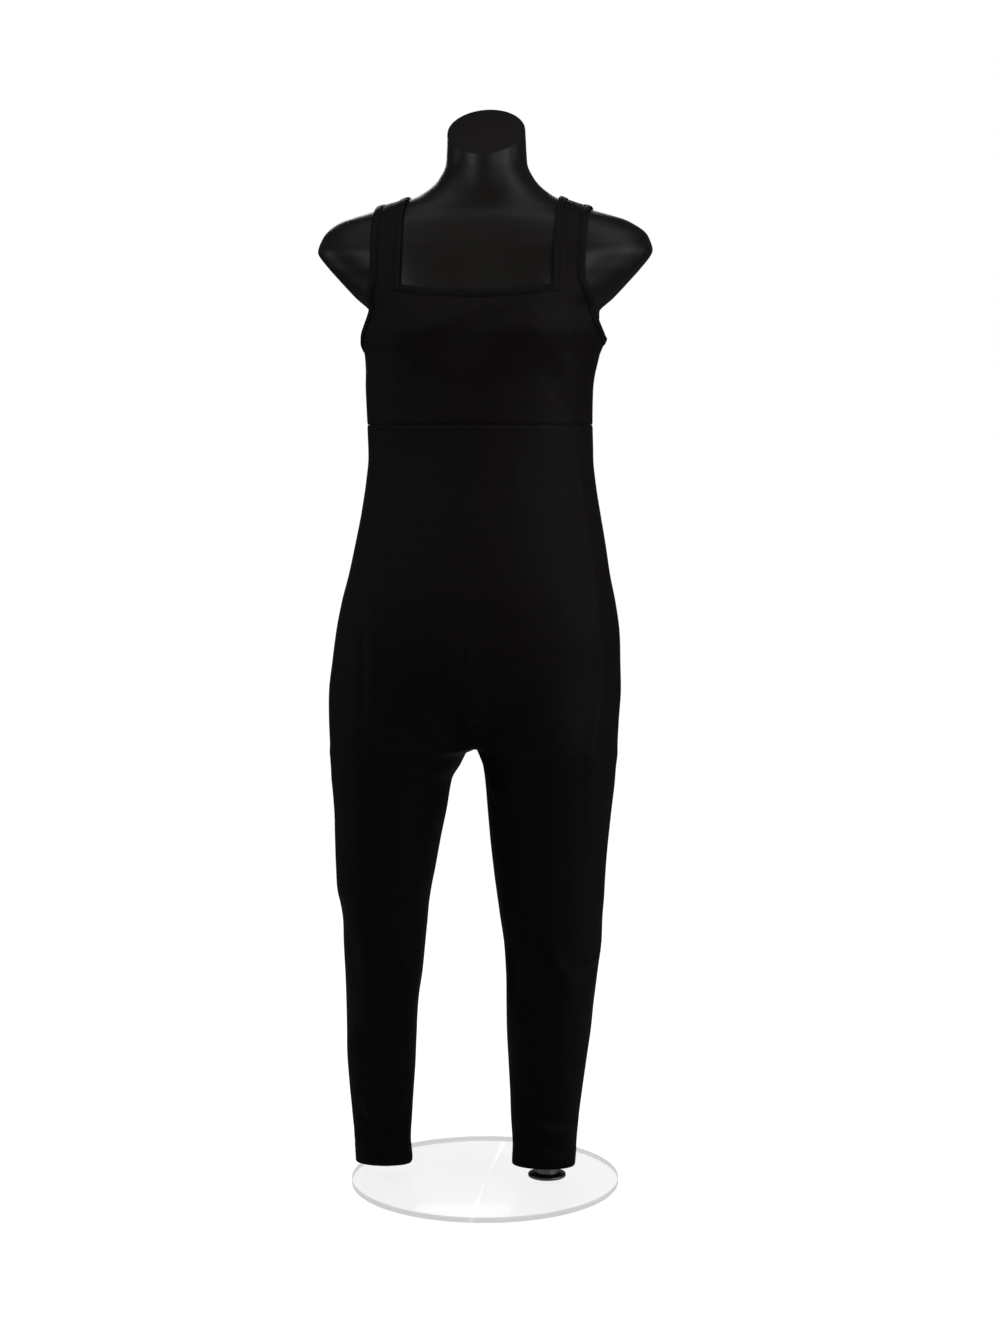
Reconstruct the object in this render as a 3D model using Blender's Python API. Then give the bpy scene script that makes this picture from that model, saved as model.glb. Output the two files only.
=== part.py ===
"""Sleeveless square-neck unitard worn by a limbless dress form on a rod stand.

Metres, +Z up. The front faces -Y and +X is the wearer's left. The origin is the centre of the
underside of the base, so the part stands on z = 0.

The form and the cloth come from the same level sections, listed in millimetres below: one table for
the trunk, one for each leg. Cloth panels are grids of points on those sections, a wall thick.
"""
import math

import bmesh
import bpy
import numpy as np

MM = 0.001

# Driving sizes in millimetres
CLOTH = 1.2
SEAM_GAP = 0.3
CLOTH_OFF_FORM = 3.0
BAND_WIDTH = 8.5
BAND_THICKNESS = 1.0
BAND_GAP = 0.5
JOIN_REACH = 0.45

EMPIRE_SEAM = 961.0
CROTCH = 560.0
CROTCH_ROUND_TOP = 660.0
COLUMN_SHIFT_TOP = 790.0
LEG_ROUND_BELOW = 440.0
LEG_TOP_ROUNDNESS = 2.35
CROTCH_ROUND_COLUMNS = 2.2
BRIDGE_POWER = 0.3
HEM_RIGHT = 21.0
HEM_LEFT = 25.0

NECKLINE_FRONT = 1129.0
NECKLINE_SAG = 7.0
NECKLINE_BACK = 1132.0
STRAP_INNER = 93.0
STRAP_OUTER = 131.0
ARMHOLE_STRAP_CORNER = 1136.0
STRAP_RAY_START = (4.0, 1165.0)
STRAP_RAY_REACH = (5.0, 140.0)
STRAP_RAY_HALVINGS = 40
STRAP_SLANT_COLUMNS = 3
STRAP_FOOT_IN = 8.0
BAND_TURN_SHARES = (0.45, 0.75)
SECTION_SAMPLES = 91
SLOPE_STEP = 0.5
SHARP_ANGLE = 40.0

STUMP_END_RIGHT = 372.0
STUMP_END_LEFT = 306.0
STUMP_EDGE_ROUND = 6.0
STUMP_TAPER = 3.5

BASE_RADIUS = 170.0
BASE_THICKNESS = 8.0
BASE_BEVEL = 1.5
SOCKET_RADIUS = 24.0
SOCKET_HEIGHT = 12.0
SOCKET_NECK_RADIUS = 14.0
SOCKET_FLANGE = 3.0
SOCKET_SHOULDER = 5.0
ROD_RADIUS = 8.0
ROD_X = 79.0
ROD_Y = 4.0
TOUCH_GAP = 0.3
BASE_SIDES = 60
SOCKET_SIDES = 32
ROD_SIDES = 24

# Columns across one leg's front half, and so half as many as across the trunk's front
LEG_COLUMNS = 10

# Trunk of the form: its level sections from the crotch to the neck
TRUNK_COLUMNS = ("height", "centre_x", "centre_y", "half_width", "front", "back", "roundness")
TRUNK = [
    (560, -14.3, 0, 177.8, 86, 103, 2.20),
    (591, -14.2, 0, 179, 92, 110, 2.20),
    (628, -13.1, 0, 180.5, 97, 116, 2.20),
    (666, -11.3, 0, 178, 101, 117, 2.20),
    (703, -9.4, 0, 175, 103, 113, 2.20),
    (741, -8.1, 0, 168.5, 103, 103, 2.20),
    (778, -6.9, 0, 160, 100, 93, 2.20),
    (816, -5.6, 0, 153, 96, 85, 2.20),
    (853, -5.0, 0, 146, 92, 79, 2.20),
    (891, -5.0, 0, 140, 89, 76, 2.20),
    (922, -5.0, 0, 137, 88, 76, 2.20),
    (961, -6.0, 0, 137, 89, 79, 2.25),
    (1003, -6.5, 0, 138, 92, 84, 2.30),
    (1041, -3.5, 0, 140, 95, 88, 2.30),
    (1072, -1.5, 0, 141, 95, 90, 2.30),
    (1100, 0.0, 0, 143, 92, 90, 2.30),
    (1118, 0.0, 0, 166, 88, 90, 2.32),
    (1136, 0.0, 0, 184, 83, 88, 2.42),
    (1154, 0.0, 0, 199, 78, 85, 2.55),
    (1172, 0.0, 0, 207, 73, 80, 2.65),
    (1191, 0.0, 1, 201, 67, 73, 2.50),
    (1208, -2.5, 2, 181, 61, 66, 2.30),
    (1224, -4.0, 4, 133, 55, 60, 2.05),
    (1242, 0.0, 6, 82, 51, 56, 2.00),
    (1262, 1.5, 8, 59, 49, 53, 2.00),
    (1282, 1.5, 9, 50, 47, 49, 2.00),
    (1322, 1.0, 10, 48, 46, 46, 2.00),
    (1365, -1.0, 11, 46, 45, 45, 2.00),
]

# How far the cloth's side stands off the form, where it is more than CLOTH_OFF_FORM
SIDE_EASE_COLUMNS = ("height", "ease")
SIDE_EASE = [
    (961, 3.0),
    (1020, 3.0),
    (1045, 5.0),
    (1062, 10.0),
    (1075, 13.0),
    (1100, 13.0),
    (1118, 8.0),
    (1140, 4.0),
    (1160, 3.0),
]

DEPTH_EASE_SHARE = 0.2

# Cloth of each leg, its outer sections from the crotch to the hem
LEG_TABLE_COLUMNS = ("height", "centre_x", "centre_y", "half_width", "half_depth")
RIGHT_LEG = [
    (21, -131.0, 10, 36.0, 34.0),
    (47, -132.5, 10, 36.0, 34.5),
    (84, -133.0, 10, 38.5, 37.5),
    (122, -133.5, 9, 41.5, 40.5),
    (159, -133.5, 8, 44.0, 43.5),
    (197, -133.0, 7, 45.0, 46.0),
    (234, -132.0, 6, 46.5, 48.5),
    (272, -130.0, 5, 49.5, 52.0),
    (309, -129.0, 5, 52.0, 55.0),
    (340, -128.0, 4, 54.0, 58.0),
    (356, -128.5, 4, 56.0, 60.5),
    (372, -129.0, 3, 59.0, 64.0),
    (403, -127.0, 3, 63.0, 67.0),
    (441, -124.0, 4, 67.0, 73.5),
    (478, -120.5, 4, 71.0, 79.5),
    (516, -118.5, 5, 75.5, 86.5),
    (534, -113.6, 6, 81.0, 90.5),
    (553, -109.1, 7, 86.6, 94.2),
    (560, -101.4, 7, 93.8, 95.0),
]
LEFT_LEG = [
    (25, 75.0, 10, 40.0, 37.0),
    (47, 76.0, 10, 40.5, 38.0),
    (84, 76.3, 10, 43.0, 40.5),
    (122, 78.0, 9, 46.0, 43.5),
    (159, 79.5, 8, 49.5, 46.5),
    (197, 81.0, 7, 53.0, 49.5),
    (234, 82.5, 6, 55.0, 52.5),
    (272, 85.0, 5, 57.5, 55.5),
    (309, 86.5, 5, 61.0, 59.5),
    (347, 84.5, 4, 64.5, 63.5),
    (366, 84.0, 4, 66.5, 65.5),
    (403, 82.5, 3, 70.0, 69.5),
    (441, 81.5, 4, 74.0, 75.5),
    (478, 81.8, 4, 77.5, 81.5),
    (516, 82.5, 5, 81.0, 87.5),
    (534, 82.2, 6, 82.5, 90.5),
    (553, 80.5, 7, 86.1, 94.2),
    (560, 79.4, 7, 87.0, 95.0),
]

# Soft mounds of the bust, one on each side
BUST_X = 82.0
BUST_HEIGHT = 1080.0
BUST_RISE = 13.0
BUST_SPREAD_X = 38.0
BUST_SPREAD_UP = 46.0
BUST_SPREAD_DOWN = 30.0

# Armhole's lower edge from the side seam to the strap: how far in front of the side seam or behind
# it, and its height there on each of the four edges. The back is scooped out further.
ARMHOLE_COLUMNS = ("away", "front_right", "front_left", "back_right", "back_left")
ARMHOLE = [
    (0.0, 1059.0, 1067.0, 1059.0, 1067.0),
    (16.0, 1060.0, 1069.0, 1060.0, 1067.5),
    (31.0, 1065.0, 1076.0, 1065.0, 1071.0),
    (46.0, 1077.0, 1091.0, 1076.0, 1080.0),
    (59.0, 1098.0, 1109.0, 1095.0, 1097.0),
    (67.0, 1117.0, 1122.0, 1114.0, 1115.0),
]

# Arm faces of the form: the slanted cut runs from its lower inner edge up and out
ARM_CUT_LOW = (142.5, 1101.0)
ARM_CUT_HIGH = (203.0, 1166.0)
ARM_CUTTER = (160.0, 260.0, 80.0)

# Neck face of the form: the cut slopes down to the front
NECK_CUT_BACK = (58.0, 1354.0)
NECK_CUT_FRONT = (-38.0, 1288.0)
NECK_CUTTER = (140.0, 220.0, 90.0)

# Heights of the grid rows, each list from top to bottom
TRUNK_ROWS = [961, 935, 908, 880, 850, 820, 790, 760, 730, 702, 675, 650, 627, 604, 584, 571, 563.5, 560]
LEG_ROW_COUNT = 21
LEG_FIRST_ROW = 553.0
FORM_CHEST_ROWS = [1365, 1325, 1290, 1274, 1261, 1249, 1239, 1231, 1223, 1213, 1201, 1186, 1169, 1152, 1134,
                   1118, 1107, 1094, 1074, 1050, 1020, 990, 961]
STUMP_ROW_COUNT = 7
BODICE_ROWS = 8
NECKLINE_HALF_COLUMNS = 5
STRAP_CELLS = 4
STRAP_ROWS = 10
STRAP_SETTLE_ROWS = 4

# Largest folds: side (-1 front, 1 back), its two ends in the front view, how wide and how high.
# A negative height is a trough.
FOLD_COLUMNS = ("side", "x_0", "height_0", "x_1", "height_1", "width", "rise")
FOLDS = [
    (-1, 98, 112, 60, 104, 11, 3.0),
    (-1, 106, 88, 64, 92, 9, -3.5),
    (-1, 98, 62, 62, 70, 10, 2.5),
    (-1, 60, 330, 108, 215, 12, 2.5),
    (-1, 80, 300, 112, 200, 10, -2.5),
    (-1, 34, 290, 46, 120, 11, -3.0),
    (-1, -150, 330, -138, 130, 12, 2.0),
    (-1, -118, 300, -112, 80, 11, -2.0),
    (-1, 20, 607, -30, 580, 12, 2.0),
    (1, -128, 330, -104, 190, 13, 2.5),
    (1, -150, 130, -112, 100, 10, -2.5),
    (1, 60, 300, 92, 180, 12, 2.5),
    (1, 54, 105, 96, 85, 10, -2.5),
    (1, 48, 240, 58, 60, 11, 2.0),
]

FRONT = -1
BACK = 1


def read_column(table, columns, name, height):
    """Value of one named column at a height, on a smooth curve that never overshoots its rows."""
    rows = sorted(table)
    at = np.array([row[0] for row in rows], float)
    values = np.array([row[columns.index(name)] for row in rows], float)
    height = min(max(height, at[0]), at[-1])
    steps = np.diff(at)
    slopes = np.diff(values) / steps
    tangents = np.zeros(len(rows))
    for i in range(1, len(rows) - 1):
        if slopes[i - 1] * slopes[i] > 0:
            tangents[i] = 2 * slopes[i - 1] * slopes[i] / (slopes[i - 1] + slopes[i])
    i = min(int(np.searchsorted(at, height, side="right")) - 1, len(steps) - 1)
    t = (height - at[i]) / steps[i]
    start = (1 + 2 * t) * (1 - t) ** 2 * values[i] + t * (1 - t) ** 2 * steps[i] * tangents[i]
    end = t * t * (3 - 2 * t) * values[i + 1] + t * t * (t - 1) * steps[i] * tangents[i + 1]
    return start + end


def trunk_value(name, height):
    return read_column(TRUNK, TRUNK_COLUMNS, name, height)


def leg_value(leg, name, height):
    return read_column(leg, LEG_TABLE_COLUMNS, name, height)


def bust_rise(x, height):
    """How far the bust stands in front of the trunk's plain section."""
    spread = BUST_SPREAD_UP if height > BUST_HEIGHT else BUST_SPREAD_DOWN
    up_down = math.exp(-0.5 * ((height - BUST_HEIGHT) / spread) ** 2)
    across = sum(math.exp(-0.5 * ((x - side * BUST_X) / BUST_SPREAD_X) ** 2) for side in (-1, 1))
    return BUST_RISE * up_down * across


def trunk_point(height, angle, side, off_form=0.0):
    """Point of a trunk section. The angle runs from the wearer's right side, 0, to the left, pi."""
    ease = off_form
    if off_form > 0 and height > EMPIRE_SEAM:
        ease = max(off_form, read_column(SIDE_EASE, SIDE_EASE_COLUMNS, "ease", height))
    power = 2.0 / trunk_value("roundness", height)
    cosine = math.cos(angle)
    sine = max(math.sin(angle), 0.0)
    half = trunk_value("half_width", height) + ease
    depth = trunk_value("front" if side == FRONT else "back", height) + off_form
    depth += (ease - off_form) * DEPTH_EASE_SHARE
    x = trunk_value("centre_x", height) - half * math.copysign(abs(cosine) ** power, cosine)
    y = side * depth * sine ** power
    if side == FRONT:
        y -= bust_rise(x, height) * sine
    return np.array([x, y + trunk_value("centre_y", height), height])


def section_depth(share, roundness):
    """Depth of a section at a share of its half width, as a share of its full depth."""
    return max(1 - min(abs(share), 1.0) ** roundness, 0.0) ** (1 / roundness)


def leg_roundness(height):
    """Round legs, squarer at the top where they join."""
    t = min(max((height - LEG_ROUND_BELOW) / (CROTCH - LEG_ROUND_BELOW), 0.0), 1.0)
    return 2.0 + (LEG_TOP_ROUNDNESS - 2.0) * t * t


def leg_across(column):
    """Place of a column across a leg, from -1 at its right side to 1 at its left."""
    return -math.cos(math.pi * column / LEG_COLUMNS)


def leg_depth(leg, height, share, side):
    depth = section_depth(share, leg_roundness(height))
    return side * leg_value(leg, "half_depth", height) * depth + leg_value(leg, "centre_y", height) * depth


def leg_point(leg, height, column, side):
    """Point on the cloth of a leg, from its right side at column 0 to its left at LEG_COLUMNS."""
    share = leg_across(column)
    x = leg_value(leg, "centre_x", height) + leg_value(leg, "half_width", height) * share
    return np.array([x, leg_depth(leg, height, share, side), height])


def crotch_x():
    """Where the two legs meet at the crotch."""
    return leg_value(RIGHT_LEG, "centre_x", CROTCH) + leg_value(RIGHT_LEG, "half_width", CROTCH)


def crotch_leg_x(column):
    """Place across of a trunk column at the crotch, where it is a leg's column."""
    if column == LEG_COLUMNS:
        return crotch_x()
    leg = RIGHT_LEG if column < LEG_COLUMNS else LEFT_LEG
    return leg_point(leg, CROTCH, column % LEG_COLUMNS if column < 2 * LEG_COLUMNS else LEG_COLUMNS, FRONT)[0]


def crotch_blend(height, from_centre):
    """0 where the trunk is one section, 1 at the crotch, where it has become two legs.

    The centre line rounds under at the end. Columns further from it change evenly. The cloth bridges
    the hollow between the legs until the crotch, which hip_point does with BRIDGE_POWER.
    """
    t = min(max((CROTCH_ROUND_TOP - height) / (CROTCH_ROUND_TOP - CROTCH), 0.0), 1.0)
    rounded = 1 - math.sqrt(1 - t * t)
    even = t * t * (3 - 2 * t)
    near = math.exp(-((from_centre / CROTCH_ROUND_COLUMNS) ** 2))
    return near * rounded + (1 - near) * even


def hip_point(height, column, side):
    """Point on the cloth of the trunk below the empire seam, closing in to the two legs at the crotch."""
    whole = trunk_point(height, math.pi * column / (2 * LEG_COLUMNS), side, CLOTH_OFF_FORM)
    centre = trunk_value("centre_x", height)
    half = trunk_value("half_width", height) + CLOTH_OFF_FORM
    crotch_centre = trunk_value("centre_x", CROTCH)
    crotch_half = trunk_value("half_width", CROTCH) + CLOTH_OFF_FORM
    leg_share = (crotch_leg_x(column) - crotch_centre) / crotch_half
    t = min(max((COLUMN_SHIFT_TOP - height) / (COLUMN_SHIFT_TOP - CROTCH_ROUND_TOP), 0.0), 1.0)
    shift = t * t * (3 - 2 * t)
    share = (1 - shift) * (whole[0] - centre) / half + shift * leg_share
    if column in (0, 2 * LEG_COLUMNS):
        share = math.copysign(1.0, share)
    depth = trunk_value("front" if side == FRONT else "back", height) + CLOTH_OFF_FORM
    y = side * depth * section_depth(share, trunk_value("roundness", height))
    leg = RIGHT_LEG if column <= LEG_COLUMNS else LEFT_LEG
    leg_column = column if column <= LEG_COLUMNS else column - LEG_COLUMNS
    weight = crotch_blend(height, abs(column - LEG_COLUMNS))
    across = leg_across(leg_column)
    if across * (LEG_COLUMNS - column) > 0 or column == LEG_COLUMNS:
        across *= weight ** BRIDGE_POWER
    leg_y = leg_depth(leg, CROTCH, across, side)
    x = centre + half * share
    if height <= CROTCH:
        x = crotch_leg_x(column)
    return np.array([x, (1 - weight) * y + weight * leg_y, height])


def level_rows(top, bottom, count):
    """Heights from just under top down to bottom."""
    return [top + (bottom - top) * (i + 1) / count for i in range(count)]


def fold_rise(x, height, side):
    """Sum of the folds at one place of the front view."""
    rise = 0.0
    for row in FOLDS:
        fold = dict(zip(FOLD_COLUMNS, row))
        if fold["side"] != side:
            continue
        along = np.array([fold["x_1"] - fold["x_0"], fold["height_1"] - fold["height_0"]])
        here = np.array([x - fold["x_0"], height - fold["height_0"]])
        t = float(here @ along / (along @ along))
        if not 0 < t < 1:
            continue
        away = np.linalg.norm(here - t * along)
        rise += fold["rise"] * math.exp(-((away / fold["width"]) ** 2)) * math.sqrt(math.sin(math.pi * t))
    return rise


def split_faces(faces):
    """Each face of four corners as two triangles, all split the same way."""
    triangles = []
    for a, b, c, d in faces:
        triangles += [(a, b, c), (a, c, d)]
    return triangles


def point_normals(points, faces):
    """Unit normal at each point, the mean of the faces around it."""
    normals = np.zeros_like(points)
    for face in faces:
        a, b, c, d = (points[i] for i in face)
        normal = np.cross(c - a, d - b)
        for i in face:
            normals[i] += normal
    return normals / np.maximum(np.linalg.norm(normals, axis=1), 1e-9)[:, None]


def make_material(name, colour, roughness, metallic=0.0, alpha=1.0):
    material = bpy.data.materials.new(name)
    material.use_nodes = True
    shader = material.node_tree.nodes["Principled BSDF"]
    shader.inputs["Base Color"].default_value = (*colour, 1.0)
    shader.inputs["Roughness"].default_value = roughness
    shader.inputs["Metallic"].default_value = metallic
    shader.inputs["Alpha"].default_value = alpha
    return material


def add_object(name, points, faces, material):
    """Object of points in millimetres, shaded smooth but for its sharp edges."""
    mesh = bpy.data.meshes.new(name)
    mesh.from_pydata([tuple(float(value) * MM for value in point) for point in points], [], faces)
    mesh.validate()
    mesh.shade_smooth()
    mesh.set_sharp_from_angle(angle=math.radians(SHARP_ANGLE))
    mesh.materials.append(material)
    made = bpy.data.objects.new(name, mesh)
    bpy.context.scene.collection.objects.link(made)
    return made


def closed_wall(outer, inner, faces):
    """Points and faces of a wall between two like grids, with its rim closed."""
    count = len(outer)
    used = {}
    for face in faces:
        for a, b in zip(face, face[1:] + face[:1]):
            used[(a, b)] = True
    walls = split_faces(faces)
    walls += [tuple(i + count for i in reversed(face)) for face in walls]
    walls += [(b, a, a + count, b + count) for a, b in used if (b, a) not in used]
    return np.vstack([outer, inner]), walls


class Panel:
    """A cut piece of cloth: a grid of points on its outer side, the faces between them, and its edges."""

    def __init__(self, side):
        self.side = side
        self.points = []
        self.index = {}
        self.faces = []
        self.cells = {}
        self.kept = []

    def add(self, key, point, keep=None):
        """Adds a point. keep names the axis that the inner point shares, on a seam or an edge."""
        self.index[key] = len(self.points)
        self.points.append(point)
        if keep is not None:
            self.kept.append((self.index[key], keep))

    def cell(self, name, upper_right, lower_right, lower_left, upper_left, mirrored=False):
        """Adds a face from its corners, named for the wearer's right and left, facing out.

        A mirrored face is split along its other diagonal.
        """
        corners = [upper_right, lower_right, lower_left, upper_left]
        if mirrored:
            corners = corners[1:] + corners[:1]
        if self.side == BACK:
            corners.reverse()
        face = tuple(self.index[key] for key in corners)
        self.cells[name] = face
        self.faces.append(face)

    def finish(self):
        """Adds the folds and works out the normals and the inner points."""
        self.points = np.array(self.points, float)
        base = point_normals(self.points, self.faces)
        edge = {i for i, _ in self.kept}
        for i, point in enumerate(self.points):
            if i not in edge:
                self.points[i] = point + base[i] * fold_rise(point[0], point[2], self.side)
        self.normals = point_normals(self.points, self.faces)
        self.inner = self.points - self.normals * CLOTH
        for i, axis in self.kept:
            self.inner[i, axis] = self.points[i, axis]

    def build(self, name, material):
        points, faces = closed_wall(self.points, self.inner, self.faces)
        return add_object(name, points, faces, material)


def lower_panel(side):
    """Front or back from the empire seam to both hems, cut in one piece."""
    panel = Panel(side)
    last = 2 * LEG_COLUMNS
    seam_y = side * SEAM_GAP / 2
    for row, height in enumerate(TRUNK_ROWS):
        for column in range(last + 1):
            point = hip_point(height, column, side)
            keep = None
            if row == 0:
                point[2] -= SEAM_GAP / 2
                keep = 2
            at_crotch = height == CROTCH and column == LEG_COLUMNS
            if column in (0, last) or at_crotch:
                point[1] = seam_y
                keep = 1
            panel.add(("trunk", row, column), point, keep)
    for row in range(len(TRUNK_ROWS) - 1):
        for column in range(last):
            panel.cell(("trunk", row, column), ("trunk", row, column), ("trunk", row + 1, column),
                       ("trunk", row + 1, column + 1), ("trunk", row, column + 1))
    crotch_row = len(TRUNK_ROWS) - 1
    legs = (("right", RIGHT_LEG, HEM_RIGHT, 0), ("left", LEFT_LEG, HEM_LEFT, LEG_COLUMNS))
    for name, leg, hem, first in legs:
        for column in range(LEG_COLUMNS + 1):
            panel.index[(name, 0, column)] = panel.index[("trunk", crotch_row, first + column)]
        heights = [LEG_FIRST_ROW] + level_rows(LEG_FIRST_ROW, hem, LEG_ROW_COUNT)
        for row, height in enumerate(heights, start=1):
            for column in range(LEG_COLUMNS + 1):
                point = leg_point(leg, height, column, side)
                keep = 2 if row == LEG_ROW_COUNT + 1 else None
                if column in (0, LEG_COLUMNS):
                    point[1] = seam_y
                    keep = 1
                panel.add((name, row, column), point, keep)
        for row in range(LEG_ROW_COUNT + 1):
            for column in range(LEG_COLUMNS):
                panel.cell((name, row, column), (name, row, column), (name, row + 1, column),
                           (name, row + 1, column + 1), (name, row, column + 1))
    panel.finish()
    return panel


def section_line(height, side, off_form):
    """A trunk section from the centre to the wearer's left side seam, with its length so far."""
    angles = np.linspace(math.pi / 2, math.pi, SECTION_SAMPLES)
    line = np.array([trunk_point(height, angle, side, off_form) for angle in angles])
    reach = np.concatenate([[0.0], np.cumsum(np.linalg.norm(np.diff(line, axis=0), axis=1))])
    return line, reach


def bodice_point(height, reach, side):
    """Point of the bodice, its reach measured round the body from the centre line to the side seam."""
    line, along = section_line(height, side, CLOTH_OFF_FORM)
    share = min(abs(reach), along[-1])
    point = np.array([np.interp(share, along, line[:, axis]) for axis in range(3)])
    if reach < 0:
        point[0] = 2 * trunk_value("centre_x", height) - point[0]
    return point


def reach_at_x(height, x, side):
    line, along = section_line(height, side, CLOTH_OFF_FORM)
    return float(np.interp(x, line[:, 0] - trunk_value("centre_x", height), along))


def reach_at_y(height, away, side):
    line, along = section_line(height, side, CLOTH_OFF_FORM)
    return float(np.interp(-away, -np.abs(line[:, 1]), along))


def outside_form(point):
    """Positive outside the form's trunk, negative inside it."""
    x, y, height = point
    off_y = y - trunk_value("centre_y", height)
    depth = trunk_value("front" if off_y < 0 else "back", height)
    if off_y < 0:
        depth += bust_rise(x, height)
    power = trunk_value("roundness", height)
    across = abs(x - trunk_value("centre_x", height)) / trunk_value("half_width", height)
    return across ** power + (abs(off_y) / depth) ** power - 1


def strap_point(x, turn):
    """Point over the shoulder at a fixed x. turn is 0 straight ahead and pi / 2 straight up."""
    start_y, start_height = STRAP_RAY_START
    near, far = STRAP_RAY_REACH
    for _ in range(STRAP_RAY_HALVINGS):
        middle = (near + far) / 2
        point = (x, start_y - middle * math.cos(turn), start_height + middle * math.sin(turn))
        if outside_form(point) < 0:
            near = middle
        else:
            far = middle
    point = np.array([x, start_y - near * math.cos(turn), start_height + near * math.sin(turn)])
    steps = SLOPE_STEP * np.eye(3)
    slope = np.array([outside_form(point + step) - outside_form(point - step) for step in steps])
    return point + slope / np.linalg.norm(slope) * CLOTH_OFF_FORM


def armhole_edge(side, hand):
    """Places of one armhole edge, from the side seam to the strap."""
    name = ("front" if side == FRONT else "back") + ("_right" if hand < 0 else "_left")
    column = ARMHOLE_COLUMNS.index(name)
    return [(row[0], row[column]) for row in ARMHOLE]


def bodice_outline(side, hand):
    """The columns of one hand from the side seam to the centre: top edge, the row a band below, bottom."""
    neckline = NECKLINE_FRONT if side == FRONT else NECKLINE_BACK
    armhole = armhole_edge(side, hand)
    top = [(reach_at_y(height, away, side), height) for away, height in armhole]
    top[0] = (section_line(armhole[0][1], side, CLOTH_OFF_FORM)[1][-1], armhole[0][1])
    strap_middle = (STRAP_OUTER + STRAP_INNER) / 2
    strap = [STRAP_OUTER, STRAP_OUTER - BAND_WIDTH, strap_middle, STRAP_INNER + BAND_WIDTH, STRAP_INNER]
    for i, x in enumerate(strap):
        height = ARMHOLE_STRAP_CORNER + (neckline - ARMHOLE_STRAP_CORNER) * min(i / STRAP_SLANT_COLUMNS, 1)
        top.append((reach_at_x(height, x, side), height))
    inner_reach = top[-1][0]
    sag = NECKLINE_SAG if side == FRONT else 0.0
    for i in range(1, NECKLINE_HALF_COLUMNS + 1):
        to_corner = 1 - i / NECKLINE_HALF_COLUMNS
        top.append((inner_reach * to_corner, neckline - sag * (1 - to_corner ** 2)))
    corner = len(ARMHOLE)
    below = []
    for i, (reach, height) in enumerate(top):
        if i == 0:
            below.append((section_line(height - BAND_WIDTH, side, CLOTH_OFF_FORM)[1][-1], height - BAND_WIDTH))
        elif i < corner:
            along = np.array(top[i + 1]) - np.array(top[i - 1])
            along /= np.linalg.norm(along)
            below.append((reach - BAND_WIDTH * along[1], height + BAND_WIDTH * along[0]))
        elif i in (corner, corner + 1):
            outer = np.array(top[corner - 1])
            along = np.array(top[corner]) - outer
            on_edge = outer + along * BAND_TURN_SHARES[i - corner]
            along /= np.linalg.norm(along)
            below.append((on_edge[0] - BAND_WIDTH * along[1], on_edge[1] + BAND_WIDTH * along[0]))
        else:
            below.append((reach, height - BAND_WIDTH))
    full = section_line(EMPIRE_SEAM, side, CLOTH_OFF_FORM)[1][-1]
    outer_reach = full - reach_at_x(EMPIRE_SEAM, STRAP_OUTER - STRAP_FOOT_IN, side)
    bottom = []
    for i, (reach, _) in enumerate(top):
        if i < corner:
            bottom.append(full - outer_reach * i / corner)
        else:
            bottom.append((full - outer_reach) * reach / top[corner][0])
    return top, below, bottom


def bodice_panel(side):
    """Front or back bodice from the empire seam to the neckline and armholes, with both half straps."""
    panel = Panel(side)
    strap_first = len(ARMHOLE)
    strap_last = strap_first + STRAP_CELLS
    half = strap_last + NECKLINE_HALF_COLUMNS
    for hand in (-1, 1):
        top, below, bottom = bodice_outline(side, hand)
        for column in range(half + (1 if hand < 0 else 0)):
            for row in range(BODICE_ROWS + 1):
                if row == BODICE_ROWS:
                    reach, height = top[column]
                else:
                    share = row / (BODICE_ROWS - 1)
                    reach = bottom[column] + (below[column][0] - bottom[column]) * share
                    height = EMPIRE_SEAM + (below[column][1] - EMPIRE_SEAM) * share
                if column == 0:
                    reach = math.inf
                point = bodice_point(height, hand * reach, side)
                keep = None
                if row == 0:
                    point[2] += SEAM_GAP / 2
                    keep = 2
                if column == 0:
                    point[1] = side * SEAM_GAP / 2
                    keep = 1
                panel.add((hand, column, row), point, keep)
    for row in range(BODICE_ROWS + 1):
        panel.index[(1, half, row)] = panel.index[(-1, half, row)]
    for hand in (-1, 1):
        for column in range(strap_first, strap_last + 1):
            start = panel.points[panel.index[(hand, column, BODICE_ROWS)]]
            forward = abs(start[1] - STRAP_RAY_START[0])
            first_turn = math.atan2(start[2] - STRAP_RAY_START[1], forward)
            settle = start - strap_point(start[0], first_turn if side == FRONT else math.pi - first_turn)
            for row in range(1, STRAP_ROWS + 1):
                turn = first_turn + (math.pi / 2 - first_turn) * row / STRAP_ROWS
                point = strap_point(start[0], turn if side == FRONT else math.pi - turn)
                point += settle * max(0.0, 1 - row / STRAP_SETTLE_ROWS)
                keep = None
                if row == STRAP_ROWS:
                    point[1] = STRAP_RAY_START[0] + side * SEAM_GAP / 2
                    keep = 1
                panel.add((hand, column, BODICE_ROWS + row), point, keep)
        for column in range(half):
            is_strap = strap_first <= column < strap_last
            for row in range(BODICE_ROWS + (STRAP_ROWS if is_strap else 0)):
                right, left = (column, column + 1) if hand < 0 else (column + 1, column)
                panel.cell((hand, column, row), (hand, right, row + 1), (hand, right, row),
                           (hand, left, row), (hand, left, row + 1), mirrored=hand > 0)
    panel.finish()
    return panel


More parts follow.
